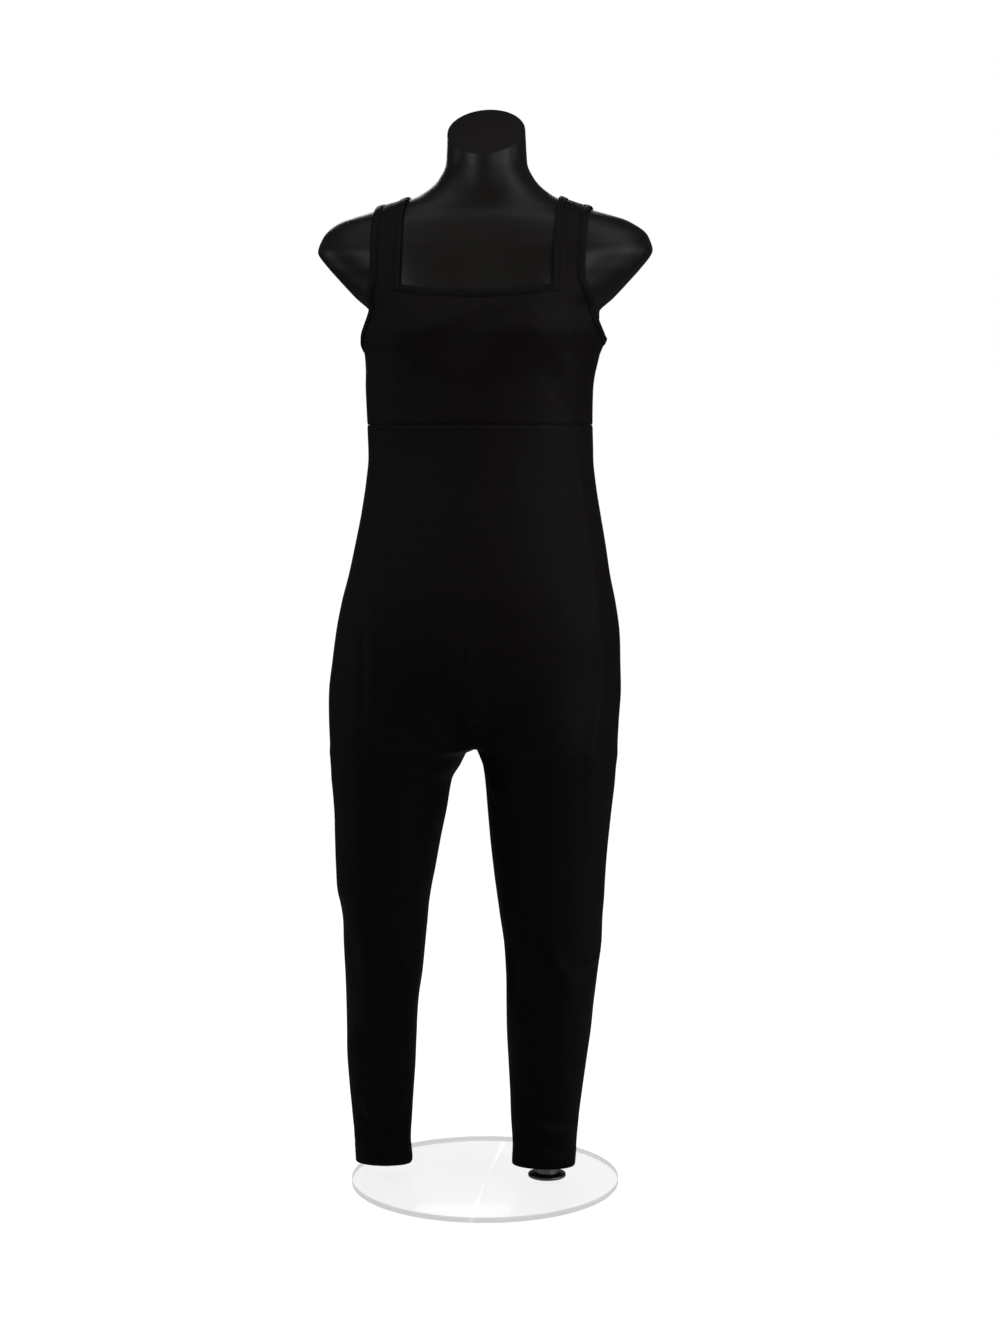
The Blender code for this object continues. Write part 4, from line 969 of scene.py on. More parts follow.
def band_places(kind, hand):
    """Columns and rows along a band's two edges on one hand, from its start to the shoulder."""
    up = np.linspace(0, 1, 1 + STRAP_ROWS * 8)
    if kind == "armhole":
        along = np.linspace(0, STRAP_FIRST, 1 + STRAP_FIRST * 9)
        edge = [(column, BODICE_ROWS) for column in along]
        lower = [(column, BODICE_ROWS - 1) for column in along]
        first, last = STRAP_FIRST, STRAP_FIRST + 1
    else:
        along = np.linspace(CENTRE_COLUMN, STRAP_LAST, 1 + NECKLINE_HALF_COLUMNS * 8)
        edge = [(column, BODICE_ROWS) for column in along]
        stretch = (CENTRE_COLUMN - STRAP_LAST + 1) / (CENTRE_COLUMN - STRAP_LAST)
        lower = [(CENTRE_COLUMN - (CENTRE_COLUMN - column) * stretch, BODICE_ROWS - 1) for column in along]
        first, last = STRAP_LAST, STRAP_LAST - 1
    edge += [(first, BODICE_ROWS + STRAP_ROWS * t) for t in up[1:]]
    lower += [(last, BODICE_ROWS - 1 + (STRAP_ROWS + 1) * t) for t in up[1:]]
    return np.array(edge), np.array(lower)


def band_line(kind, side, hand):
    """Rows of points across a band, from its free edge in, all along one hand of one side."""
    edge, lower = band_places(kind, hand)
    share = np.linspace(0, 1, 5)
    columns = edge[:, :1] + (lower[:, :1] - edge[:, :1]) * share
    rows = edge[:, 1:] + (lower[:, 1:] - edge[:, 1:]) * share
    points = bodice_points(columns, rows, side, hand)
    return points, bodice_free(columns, rows)


def band_object(name, kind, hands, material, stitch_material):
    """Folded band round a neckline or armhole, closed on itself, with the line its stitches follow."""
    parts = []
    for side, hand, backwards in hands:
        points, free = band_line(kind, side, hand)
        normal_way = np.cross(points[1:, -1] - points[1:, 0], points[1:, 0] - points[:-1, 0])
        normal_way = np.vstack([normal_way[:1], normal_way])
        middle_x = points[:, 0, 0] * 0
        middle_y = np.full(len(points), BAND_CENTRE_DEPTH)
        middle = np.stack([middle_x, middle_y, points[:, 0, 2] - BAND_CENTRE_DROP], -1)
        outward = points[:, 0] - middle
        flip = np.sign((normal_way * outward).sum(1))
        flat_normal = normal_way * flip[:, None]
        flat_normal /= np.linalg.norm(flat_normal, axis=1)[:, None]
        rise = fold_rise(points[:, 2], side) + ripple_rise(points[:, 2], side)
        points = points + flat_normal[:, None, :] * (rise * free[:, 2])[:, None, None]
        if backwards:
            points = points[::-1]
            flat_normal = flat_normal[::-1]
        if parts:
            points = points[1:]
            flat_normal = flat_normal[1:]
        parts.append((points, flat_normal))
    rows = np.concatenate([part[0] for part in parts])
    normals = np.concatenate([part[1] for part in parts])
    if np.linalg.norm(rows[0, 0] - rows[-1, 0]) < 2.0:
        rows = rows[:-1]
        normals = normals[:-1]
    for _ in range(2):
        normals = normals + np.roll(normals, 1, axis=0) + np.roll(normals, -1, axis=0)
        normals /= np.linalg.norm(normals, axis=1)[:, None]
    inward = rows[:, 1] - rows[:, 0]
    inward /= np.linalg.norm(inward, axis=1)[:, None]
    width = np.linspace(0, BAND_WIDTH, rows.shape[1])
    across = []
    for reach, height in BAND_PROFILE:
        if reach >= 0:
            base = np.stack([[np.interp(reach, width, row[:, axis]) for axis in range(3)] for row in rows])
        else:
            base = rows[:, 0] + inward * reach
        across.append(base + normals * height)
    points = np.stack(across, axis=1)
    count, round_count = points.shape[:2]
    index = np.arange(count * round_count).reshape(count, round_count)
    nxt = np.roll(index, -1, axis=0)
    faces = np.stack([index, np.roll(index, -1, axis=1), np.roll(nxt, -1, axis=1), nxt], axis=-1)
    faces = faces.reshape(-1, 4)
    length = np.concatenate([[0.0], np.cumsum(np.linalg.norm(np.diff(rows[:, 2], axis=0), axis=1))])
    made = link_object(name, points.reshape(-1, 3), faces.tolist(), material)
    places = np.zeros((count * round_count, 3), np.float32)
    places[:, 0] = np.repeat(length, round_count)
    places[:, 1] = np.tile([reach for reach, _ in BAND_PROFILE], count)
    attribute = made.data.attributes.new("knit_mm", "FLOAT_VECTOR", "POINT")
    attribute.data.foreach_set("vector", places.ravel())
    stitch_row = [[np.interp(BAND_STITCH_IN, width, row[:, axis]) for axis in range(3)] for row in rows]
    stitch_line = np.stack(stitch_row) + normals * BAND_STITCH_LIFT
    thread = stitch_object(name + "_stitches", [(stitch_line, normals, True)], stitch_material)
    return made, thread, length[-1]


# One stitch: its length, the gap to the next, the thread's radius, how deep its ends sink in, and how far
# a hem's stitches stand off the cloth
STITCH_LENGTH = 2.6
STITCH_GAP = 0.7
THREAD_RADIUS = 0.24
STITCH_SINK = 0.35
HEM_STITCH_LIFT = 0.12
STITCH_RINGS = 6
STITCH_SIDES = 6


def stitch_object(name, lines, material):
    """Rows of short rounded stitches that sink in at both ends. Each line is points, normals, closed."""
    ring_at = np.linspace(-1, 1, STITCH_RINGS)
    angles = np.linspace(0, 2 * math.pi, STITCH_SIDES, endpoint=False)
    ring_radius = THREAD_RADIUS * np.sqrt(np.maximum(1 - np.abs(ring_at) ** 3, 0.08))
    sink = -STITCH_SINK * np.abs(ring_at) ** 3
    along = np.repeat(ring_at * STITCH_LENGTH / 2, STITCH_SIDES)
    across = np.outer(ring_radius, np.cos(angles)).ravel()
    up = (np.outer(ring_radius, np.sin(angles)) + sink[:, None]).ravel()
    index = np.arange(STITCH_RINGS * STITCH_SIDES).reshape(STITCH_RINGS, STITCH_SIDES)
    nxt = np.roll(index, -1, axis=1)
    template = np.stack([index[:-1], nxt[:-1], nxt[1:], index[1:]], axis=-1).reshape(-1, 4).tolist()
    caps = [index[0][::-1].tolist(), index[-1].tolist()]
    points, faces = [], []
    for line, normals, closed in lines:
        if closed:
            line = np.vstack([line, line[:1]])
            normals = np.vstack([normals, normals[:1]])
        length = np.concatenate([[0.0], np.cumsum(np.linalg.norm(np.diff(line, axis=0), axis=1))])
        count = int(length[-1] / (STITCH_LENGTH + STITCH_GAP))
        for at in (np.arange(count) + 0.5) * length[-1] / count:
            centre = np.array([np.interp(at, length, line[:, axis]) for axis in range(3)])
            ahead = np.array([np.interp(at + 1, length, line[:, axis]) for axis in range(3)])
            behind = np.array([np.interp(at - 1, length, line[:, axis]) for axis in range(3)])
            normal = np.array([np.interp(at, length, normals[:, axis]) for axis in range(3)])
            way = ahead - behind
            way /= np.linalg.norm(way)
            sideways = np.cross(normal, way)
            sideways /= np.linalg.norm(sideways)
            normal = np.cross(way, sideways)
            first = len(points) * len(along)
            points.append(centre + np.outer(along, way) + np.outer(across, sideways) + np.outer(up, normal))
            faces += [[i + first for i in face] for face in template + caps]
    return link_object(name, np.concatenate(points), faces, material)


def hem_stitches(front, back, leg, hem, material):
    """Two needle lines round one hem."""
    lines = []
    for line in STITCH_LINES:
        for cloth in (front, back):
            index, heights = cloth.hem_rows[leg]
            row = index[int(np.argmin(np.abs(heights - hem - line)))][1:-1]
            lifted = cloth.points[row] + cloth.normals[row] * HEM_STITCH_LIFT
            lines.append((lifted, cloth.normals[row], False))
    return stitch_object(f"hem_stitches_{leg}", lines, material)


# Rows and columns of the form's fine grid
FORM_ROW_GAP = 3.5
FORM_HALF_COLUMNS = 150
CAP_RINGS = 6


def cut_arms(points):
    """Slices the shoulders with the two slanted arm planes, with a soft edge."""
    slope = (ARM_CUT_HIGH[0] - ARM_CUT_LOW[0]) / (ARM_CUT_HIGH[1] - ARM_CUT_LOW[1])
    height = points[:, 2]
    plane = ARM_CUT_LOW[0] + np.maximum(height - ARM_CUT_LOW[1], 0.0) * slope
    plane = plane + 12 * smooth_step(ARM_CUT_LOW[1] - height, 2.0, 26.0)
    plane = np.where(height < ARM_CUT_LOW[1] - 30, 1e3, plane)
    cut = smooth_least(np.abs(points[:, 0]), plane, CUT_EDGE_ROUND)
    points[:, 0] = np.sign(points[:, 0]) * cut


def cut_neck(points):
    """Slices the neck with its slanted plane, with a soft edge."""
    slope = (NECK_CUT_BACK[1] - NECK_CUT_FRONT[1]) / (NECK_CUT_BACK[0] - NECK_CUT_FRONT[0])
    plane = NECK_CUT_FRONT[1] + (points[:, 1] - NECK_CUT_FRONT[0]) * slope
    points[:, 2] = smooth_least(points[:, 2], plane, CUT_EDGE_ROUND)


def ring_rows(heights, columns, point_at):
    """Level rings, the front from right to left and then the back from left to right."""
    front = point_at(heights[:, None], columns[None, :], FRONT)
    back = point_at(heights[:, None], columns[None, ::-1][:, 1:-1], BACK)
    return np.concatenate([front, back], axis=1)


def form_object(material):
    """Smooth limbless form with a neck, slanted arm faces and two thigh stumps."""
    half = FORM_HALF_COLUMNS
    trunk_columns = np.linspace(0, 2, 2 * half + 1)
    chest_heights = np.concatenate([rows_down(1366, 1288, 2.0), rows_down(1288, 1095, 2.2)[1:],
                                    rows_down(1095, EMPIRE_SEAM, FORM_ROW_GAP)[1:]])
    chest = ring_rows(chest_heights, trunk_columns, lambda h, c, side: trunk_points(h, np.pi * c / 2, side))
    hip_heights = np.concatenate([rows_down(EMPIRE_SEAM - 4, CROTCH + 15, FORM_ROW_GAP),
                                  CROTCH + np.array(CROTCH_ROWS)[::-1][1:]])
    hips = ring_rows(hip_heights, trunk_columns, hip_points)
    points = np.concatenate([chest, hips]).reshape(-1, 3)
    count = 4 * half
    index = np.arange(len(points)).reshape(-1, count)
    crotch_ring = index[-1].copy()
    points[crotch_ring[half], 1] = 0.0
    index[-1, 3 * half] = crotch_ring[half]
    crotch_ring = index[-1]
    faces = [ring_quads(index)]
    caps = []
    legs = ((RIGHT_LEG, STUMP_END_RIGHT, 0), (LEFT_LEG, STUMP_END_LEFT, half))
    for leg, end, first in legs:
        front = crotch_ring[first:first + half + 1]
        back = [crotch_ring[(4 * half - first - column) % (4 * half)] for column in range(half - 1, 0, -1)]
        heights = rows_down(CROTCH - 3, end + STUMP_EDGE_ROUND, FORM_ROW_GAP)
        rings = ring_rows(heights, np.linspace(0, 1, half + 1),
                          lambda h, c, side: leg_points(leg, h, c, side))
        ring_index = len(points) + np.arange(rings.shape[0] * rings.shape[1]).reshape(rings.shape[:2])
        points = np.vstack([points, rings.reshape(-1, 3)])
        faces.append(ring_quads(np.vstack([np.concatenate([front, back]), ring_index])))
        caps.append((ring_index[-1], end))
    quads = np.concatenate(faces)
    normals = point_normals(points, quads)
    first_low = len(chest_heights) * count
    down = np.clip((CROTCH - points[:, 2]) / (CROTCH - STUMP_END_LEFT), 0.0, 1.0)
    inset = CLOTH_OFF_FORM + STUMP_TAPER * down
    points[first_low:] -= normals[first_low:] * inset[first_low:, None]
    cut_arms(points)
    cut_neck(points)
    all_faces = quads.tolist()
    for ring, end in caps:
        points, new_faces = rounded_end(points, ring, end)
        all_faces += new_faces
    points, new_faces = neck_face(points, index[0])
    all_faces += new_faces
    keep = np.unique(np.concatenate([np.array(face) for face in all_faces]))
    place = np.full(len(points), -1)
    place[keep] = np.arange(len(keep))
    all_faces = [[int(place[i]) for i in face] for face in all_faces]
    made = link_object("form_shell", points[keep], all_faces, material)
    return made


def ring_quads(index):
    nxt = np.roll(index, -1, axis=1)
    return np.stack([index[:-1], index[1:], nxt[1:], nxt[:-1]], axis=-1).reshape(-1, 4)


def rounded_end(points, ring, end):
    """Rounds the lower edge of a stump and closes it."""
    centre = points[ring].mean(0)
    radius = np.linalg.norm(points[ring] - centre, axis=1)
    rings = [ring]
    for turn in np.linspace(0, math.pi / 2, CAP_RINGS + 1)[1:]:
        share = 1 - STUMP_EDGE_ROUND * (1 - math.cos(turn)) / radius
        new = centre + (points[ring] - centre) * share[:, None]
        new[:, 2] = end + STUMP_EDGE_ROUND * (1 - math.sin(turn))
        rings.append(len(points) + np.arange(len(ring)))
        points = np.vstack([points, new])
    for share in (0.7, 0.4, 0.12):
        new = centre + (points[rings[-1]] - centre) * share / 1.0
        new[:, 2] = end
        rings.append(len(points) + np.arange(len(ring)))
        points = np.vstack([points, new])
    faces = ring_quads(np.array(rings)).tolist()
    return points, faces + [rings[-1][::-1].tolist()]


def neck_face(points, ring):
    """Closes the neck's slanted cut."""
    centre = points[ring].mean(0)
    rings = [ring]
    for share in (0.94, 0.8, 0.55, 0.25):
        rings.append(len(points) + np.arange(len(ring)))
        points = np.vstack([points, centre + (points[ring] - centre) * share])
    faces = ring_quads(np.array(rings[::-1])).tolist()
    return points, faces + [rings[-1].tolist()]


def turned_object(name, profile, centre, sides, material):
    """Round piece from a profile of (radius, height) rows, bottom to top, closed with flat ends."""
    angles = np.linspace(0, 2 * math.pi, sides, endpoint=False)
    rings = [np.stack([centre[0] + radius * np.cos(angles), centre[1] + radius * np.sin(angles),
                       np.full(sides, height)], axis=-1) for radius, height in profile]
    index = np.arange(len(profile) * sides).reshape(len(profile), sides)
    nxt = np.roll(index, -1, axis=1)
    faces = np.stack([index[:-1], nxt[:-1], nxt[1:], index[1:]], axis=-1).reshape(-1, 4).tolist()
    faces += [index[0][::-1].tolist(), index[-1].tolist()]
    made = link_object(name, np.concatenate(rings), faces, material)
    made.data.set_sharp_from_angle(angle=math.radians(50))
    return made


def rounded_profile(corners, radius, steps=5):
    """Profile through corner places with each inner corner rounded."""
    corners = np.array(corners, float)
    profile = [corners[0]]
    for before, corner, after in zip(corners, corners[1:], corners[2:]):
        start = corner + (before - corner) / np.linalg.norm(before - corner) * radius
        end = corner + (after - corner) / np.linalg.norm(after - corner) * radius
        for t in np.linspace(0, 1, steps):
            profile.append((1 - t) ** 2 * start + 2 * t * (1 - t) * corner + t * t * end)
    profile.append(corners[-1])
    return [tuple(place) for place in profile]


# Stand, as in the solids
ROD_X = 79.0
ROD_Y = 4.0
ROD_RADIUS = 8.0
ROD_BOTTOM = 20.6
BASE_RADIUS = 170.0
BASE_THICKNESS = 8.0
SOCKET_BOTTOM = 8.3
SOCKET_TOP = 20.3
SOCKET_RADIUS = 24.0
SOCKET_NECK_RADIUS = 14.0


def stand_objects(glass, steel):
    """Glass plate with a ground edge, a flanged socket and the rod up into the left stump."""
    plate = rounded_profile([(0.5, 0.0), (BASE_RADIUS, 0.0), (BASE_RADIUS, BASE_THICKNESS),
                             (0.5, BASE_THICKNESS)], 1.4)
    flange = rounded_profile([(0.5, SOCKET_BOTTOM), (SOCKET_RADIUS, SOCKET_BOTTOM), (SOCKET_RADIUS, 11.5),
                              (SOCKET_NECK_RADIUS, 13.5), (SOCKET_NECK_RADIUS, SOCKET_TOP),
                              (0.5, SOCKET_TOP)], 0.7)
    rod = rounded_profile([(0.5, ROD_BOTTOM), (ROD_RADIUS, ROD_BOTTOM), (ROD_RADIUS, STUMP_END_LEFT - 0.3),
                           (0.5, STUMP_END_LEFT - 0.3)], 0.8)
    return {
        "stand_base": turned_object("base_plate", plate, (0.0, 0.0), 144, glass),
        "stand_socket": turned_object("rod_socket", flange, (ROD_X, ROD_Y), 64, steel),
        "stand_rod": turned_object("stand_tube", rod, (ROD_X, ROD_Y), 48, steel),
    }


def linear(hex_colour):
    """Linear colour of an sRGB hex value."""
    parts = [int(hex_colour[i:i + 2], 16) / 255 for i in (1, 3, 5)]
    return tuple(p / 12.92 if p <= 0.04045 else ((p + 0.055) / 1.055) ** 2.4 for p in parts) + (1.0,)


def add_node(tree, kind, settings=None, links=None):
    """Adds a node. settings and links name its inputs, by name or number, or its own properties."""
    node = tree.nodes.new(kind)
    for key, value in (settings or {}).items():
        if isinstance(key, str) and key not in node.inputs:
            setattr(node, key, value)
        else:
            node.inputs[key].default_value = value
    for key, source in (links or {}).items():
        tree.links.new(source, node.inputs[key])
    return node


def new_material(name):
    material = bpy.data.materials.new(name)
    material.use_nodes = True
    return material, material.node_tree, material.node_tree.nodes["Principled BSDF"]


def set_shader(shader, values):
    for key, value in values.items():
        shader.inputs[key].default_value = value


# Single jersey as knitted has about 0.6 mm between wales and 0.45 mm between courses. Both are drawn
# four times as coarse, because the render couldn't show them at their own size.
WALE = 2.4
COURSE = 1.8
LOOP_SLANT = 0.42


def knit_height(tree, wale, course):
    """Height of knitted loops: rounded wales, each with slanted courses."""
    places = add_node(tree, "ShaderNodeAttribute", {"attribute_name": "knit_mm"})
    split = add_node(tree, "ShaderNodeSeparateXYZ", links={0: places.outputs["Vector"]})
    across = add_node(tree, "ShaderNodeMath", {"operation": "DIVIDE", 1: wale}, {0: split.outputs["X"]})
    in_wale = add_node(tree, "ShaderNodeMath", {"operation": "PINGPONG", 1: 0.5}, {0: across.outputs[0]})
    off_middle = add_node(tree, "ShaderNodeMath", {"operation": "MULTIPLY", 1: 2.0},
                          {0: in_wale.outputs[0]})
    down = add_node(tree, "ShaderNodeMath", {"operation": "DIVIDE", 1: course}, {0: split.outputs["Y"]})
    slanted = add_node(tree, "ShaderNodeMath", {"operation": "MULTIPLY_ADD", 1: LOOP_SLANT},
                       {0: off_middle.outputs[0], 2: down.outputs[0]})
    turn = add_node(tree, "ShaderNodeMath", {"operation": "MULTIPLY", 1: 2 * math.pi},
                    {0: slanted.outputs[0]})
    wave = add_node(tree, "ShaderNodeMath", {"operation": "SINE"}, {0: turn.outputs[0]})
    course_height = add_node(tree, "ShaderNodeMath", {"operation": "MULTIPLY_ADD", 1: 0.3, 2: 0.7},
                             {0: wave.outputs[0]})
    rounded = add_node(tree, "ShaderNodeMath", {"operation": "POWER", 1: 0.5}, {0: off_middle.outputs[0]})
    height = add_node(tree, "ShaderNodeMath", {"operation": "MULTIPLY"},
                      {0: rounded.outputs[0], 1: course_height.outputs[0]})
    return height.outputs[0]


def jersey(name, dark, light, wale, course, knit_depth):
    """Nylon and elastane jersey, knitted and piece dyed black: a soft, low sheen from its filament
    loops, brighter where the knit is stretched over an edge, and no hard highlight."""
    material, tree, shader = new_material(name)
    place = add_node(tree, "ShaderNodeTexCoord")
    cloudy = add_node(tree, "ShaderNodeTexNoise", {"Scale": 22.0, "Detail": 3.0, "Roughness": 0.55},
                      {"Vector": place.outputs["Object"]})
    colour = add_node(tree, "ShaderNodeMix", {"data_type": "RGBA", "A": linear(dark), "B": linear(light)},
                      {"Factor": cloudy.outputs["Fac"]})
    tree.links.new(colour.outputs["Result"], shader.inputs["Base Color"])
    rough = add_node(tree, "ShaderNodeMapRange",
                     {"From Min": 0.3, "From Max": 0.7, "To Min": 0.48, "To Max": 0.56},
                     {"Value": cloudy.outputs["Fac"]})
    tree.links.new(rough.outputs["Result"], shader.inputs["Roughness"])
    uneven = add_node(tree, "ShaderNodeTexNoise", {"Scale": 260.0, "Detail": 2.0},
                      {"Vector": place.outputs["Object"]})
    loops = add_node(tree, "ShaderNodeBump", {"Strength": 0.55, "Distance": knit_depth * MM},
                     {"Height": knit_height(tree, wale, course)})
    soft = add_node(tree, "ShaderNodeBump", {"Strength": 0.35, "Distance": 0.35 * MM},
                    {"Height": uneven.outputs["Fac"], "Normal": loops.outputs["Normal"]})
    tree.links.new(soft.outputs["Normal"], shader.inputs["Normal"])
    set_shader(shader, {"IOR": 1.53, "Specular IOR Level": 0.16, "Sheen Weight": 0.04,
                        "Sheen Roughness": 0.4, "Sheen Tint": linear("#8A8490")})
    return material


def sewing_thread():
    """Spun polyester thread, dyed black: a thin dull line, a shade lighter than the cloth."""
    material, tree, shader = new_material("spun_polyester_thread")
    place = add_node(tree, "ShaderNodeTexCoord")
    twist = add_node(tree, "ShaderNodeTexNoise", {"Scale": 1800.0, "Detail": 1.0},
                     {"Vector": place.outputs["Object"]})
    colour = add_node(tree, "ShaderNodeMix",
                      {"data_type": "RGBA", "A": linear("#17151A"), "B": linear("#26232A")},
                      {"Factor": twist.outputs["Fac"]})
    tree.links.new(colour.outputs["Result"], shader.inputs["Base Color"])
    bump = add_node(tree, "ShaderNodeBump", {"Strength": 0.4, "Distance": 0.08 * MM},
                    {"Height": twist.outputs["Fac"]})
    tree.links.new(bump.outputs["Normal"], shader.inputs["Normal"])
    set_shader(shader, {"IOR": 1.57, "Roughness": 0.55, "Specular IOR Level": 0.3})
    return material


def moulded_plastic():
    """Blow-moulded high-density polyethylene, black: a satin face with a faint orange-peel from the
    mould, so its highlights are soft and a little broken."""
    material, tree, shader = new_material("blow_moulded_polyethylene")
    place = add_node(tree, "ShaderNodeTexCoord")
    cloudy = add_node(tree, "ShaderNodeTexNoise", {"Scale": 9.0, "Detail": 4.0},
                      {"Vector": place.outputs["Object"]})
    colour = add_node(tree, "ShaderNodeMix",
                      {"data_type": "RGBA", "A": linear("#16120F"), "B": linear("#1E1A16")},
                      {"Factor": cloudy.outputs["Fac"]})
    tree.links.new(colour.outputs["Result"], shader.inputs["Base Color"])
    rough = add_node(tree, "ShaderNodeMapRange",
                     {"From Min": 0.3, "From Max": 0.7, "To Min": 0.36, "To Max": 0.46},
                     {"Value": cloudy.outputs["Fac"]})
    tree.links.new(rough.outputs["Result"], shader.inputs["Roughness"])
    peel = add_node(tree, "ShaderNodeTexNoise", {"Scale": 170.0, "Detail": 1.5, "Roughness": 0.4},
                    {"Vector": place.outputs["Object"]})
    grain = add_node(tree, "ShaderNodeTexNoise", {"Scale": 1100.0, "Detail": 1.0},
                     {"Vector": place.outputs["Object"]})
    fine = add_node(tree, "ShaderNodeBump", {"Strength": 0.25, "Distance": 0.04 * MM},
                    {"Height": grain.outputs["Fac"]})
    bump = add_node(tree, "ShaderNodeBump", {"Strength": 0.3, "Distance": 0.12 * MM},
                    {"Height": peel.outputs["Fac"], "Normal": fine.outputs["Normal"]})
    tree.links.new(bump.outputs["Normal"], shader.inputs["Normal"])
    set_shader(shader, {"IOR": 1.51, "Specular IOR Level": 0.45})
    return material


def brushed_steel():
    """Stainless steel tube, brushed along its length: fine upright lines that spread its highlight."""
    material, tree, shader = new_material("brushed_stainless_steel")
    place = add_node(tree, "ShaderNodeTexCoord")
    stretched = add_node(tree, "ShaderNodeMapping", {"Scale": (1400.0, 1400.0, 12.0)},
                         {"Vector": place.outputs["Object"]})
    lines = add_node(tree, "ShaderNodeTexNoise", {"Scale": 1.0, "Detail": 3.0},
                     {"Vector": stretched.outputs["Vector"]})
    colour = add_node(tree, "ShaderNodeMix",
                      {"data_type": "RGBA", "A": linear("#B4B5B6"), "B": linear("#D2D3D4")},
                      {"Factor": lines.outputs["Fac"]})
    tree.links.new(colour.outputs["Result"], shader.inputs["Base Color"])
    rough = add_node(tree, "ShaderNodeMapRange", {"To Min": 0.22, "To Max": 0.38},
                     {"Value": lines.outputs["Fac"]})
    tree.links.new(rough.outputs["Result"], shader.inputs["Roughness"])
    bump = add_node(tree, "ShaderNodeBump", {"Strength": 0.2, "Distance": 0.03 * MM},
                    {"Height": lines.outputs["Fac"]})
    tree.links.new(bump.outputs["Normal"], shader.inputs["Normal"])
    set_shader(shader, {"Metallic": 1.0})
    return material


def tempered_glass():
    """Clear tempered float glass: see-through on its face, faintly green and denser at the ground edge."""
    material, tree, shader = new_material("tempered_float_glass")
    place = add_node(tree, "ShaderNodeTexCoord")
    split = add_node(tree, "ShaderNodeSeparateXYZ", links={0: place.outputs["Normal"]})
    face_up = add_node(tree, "ShaderNodeMath", {"operation": "ABSOLUTE"}, {0: split.outputs["Z"]})
    density = add_node(tree, "ShaderNodeMapRange", {"To Min": 0.42, "To Max": 0.10},
                       {"Value": face_up.outputs[0]})
    tree.links.new(density.outputs["Result"], shader.inputs["Alpha"])
    colour = add_node(tree, "ShaderNodeMix",
                      {"data_type": "RGBA", "A": linear("#A9C9BE"), "B": linear("#EEF4F2")},
                      {"Factor": face_up.outputs[0]})
    tree.links.new(colour.outputs["Result"], shader.inputs["Base Color"])
    smear = add_node(tree, "ShaderNodeTexNoise", {"Scale": 14.0, "Detail": 3.0},
                     {"Vector": place.outputs["Object"]})
    rough = add_node(tree, "ShaderNodeMapRange", {"To Min": 0.03, "To Max": 0.10},
                     {"Value": smear.outputs["Fac"]})
    tree.links.new(rough.outputs["Result"], shader.inputs["Roughness"])
    set_shader(shader, {"IOR": 1.52})
    return material


def pale_floor():
    """Matt pale paint on the studio floor."""
    material, tree, shader = new_material("pale_floor_paint")
    place = add_node(tree, "ShaderNodeTexCoord")
    cloudy = add_node(tree, "ShaderNodeTexNoise", {"Scale": 2.0}, {"Vector": place.outputs["Object"]})
    colour = add_node(tree, "ShaderNodeMix",
                      {"data_type": "RGBA", "A": linear("#CCCAC8"), "B": linear("#D0CFCD")},
                      {"Factor": cloudy.outputs["Fac"]})
    tree.links.new(colour.outputs["Result"], shader.inputs["Base Color"])
    seen = add_node(tree, "ShaderNodeLightPath")
    glow = add_node(tree, "ShaderNodeMath", {"operation": "MULTIPLY", 1: FLOOR_GLOW},
                    {0: seen.outputs["Is Camera Ray"]})
    tree.links.new(glow.outputs[0], shader.inputs["Emission Strength"])
    set_shader(shader, {"Roughness": 0.9, "Specular IOR Level": 0.1, "Emission Color": linear("#FFFFFF")})
    return material


# Studio: places and sizes in metres, angles in degrees, powers in watts. The white of the room and the
# floor is for the camera's eye, and what lights the cloth is low, so that black stays black.
FLOOR_SIZE = 40.0
FLOOR_GLOW = 1.0
WORLD_COLOUR = "#FFFFFF"
ROOM_LIGHT = 0.05
AREA_COLUMNS = ("name", "place", "target", "width", "height", "power", "spread")
AREA_LIGHTS = [
    ("top_softbox", (0.0, -0.3, 2.6), (0.0, 0.0, 1.0), 1.8, 0.9, 2.5, 180.0),
    ("shoulder_right_light", (-1.0, -0.5, 2.4), (0.0, 0.0, 1.1), 0.7, 0.7, 0.12, 90.0),
    ("shoulder_left_light", (1.0, -0.5, 2.4), (0.0, 0.0, 1.1), 0.7, 0.7, 0.3, 90.0),
    ("chest_right_light", (-1.1, -1.6, 1.75), (-0.05, 0.0, 1.16), 0.6, 0.6, 0.22, 42.0),
    ("chest_left_light", (1.0, -1.8, 1.65), (0.05, 0.0, 1.16), 0.6, 0.6, 0.18, 42.0),
    ("left_high_softbox", (1.9, -1.2, 2.1), (0.0, 0.0, 1.2), 1.0, 1.2, 0.5, 60.0),
    ("left_front_strip", (2.1, -1.2, 1.2), (0.1, 0.0, 0.9), 0.3, 1.6, 1.3, 90.0),
    ("left_side_strip", (2.4, 0.0, 1.0), (0.1, 0.0, 0.75), 0.3, 1.7, 0.7, 90.0),
    ("right_side_strip", (-2.3, -0.3, 1.1), (0.0, 0.0, 0.9), 0.5, 1.4, 0.65, 90.0),
    ("back_softbox", (-0.6, 2.6, 1.9), (0.0, 0.0, 0.9), 1.4, 1.2, 6.0, 90.0),
]

# Camera, fitted to the photograph
CAMERA_AZIMUTH = 7.0
CAMERA_DISTANCE = 3.0
CAMERA_HEIGHT = 0.95
TARGET_HEIGHT = 0.66
SIDE_SHIFT = 0.019
LENS = 65.0
SENSOR = 36.0


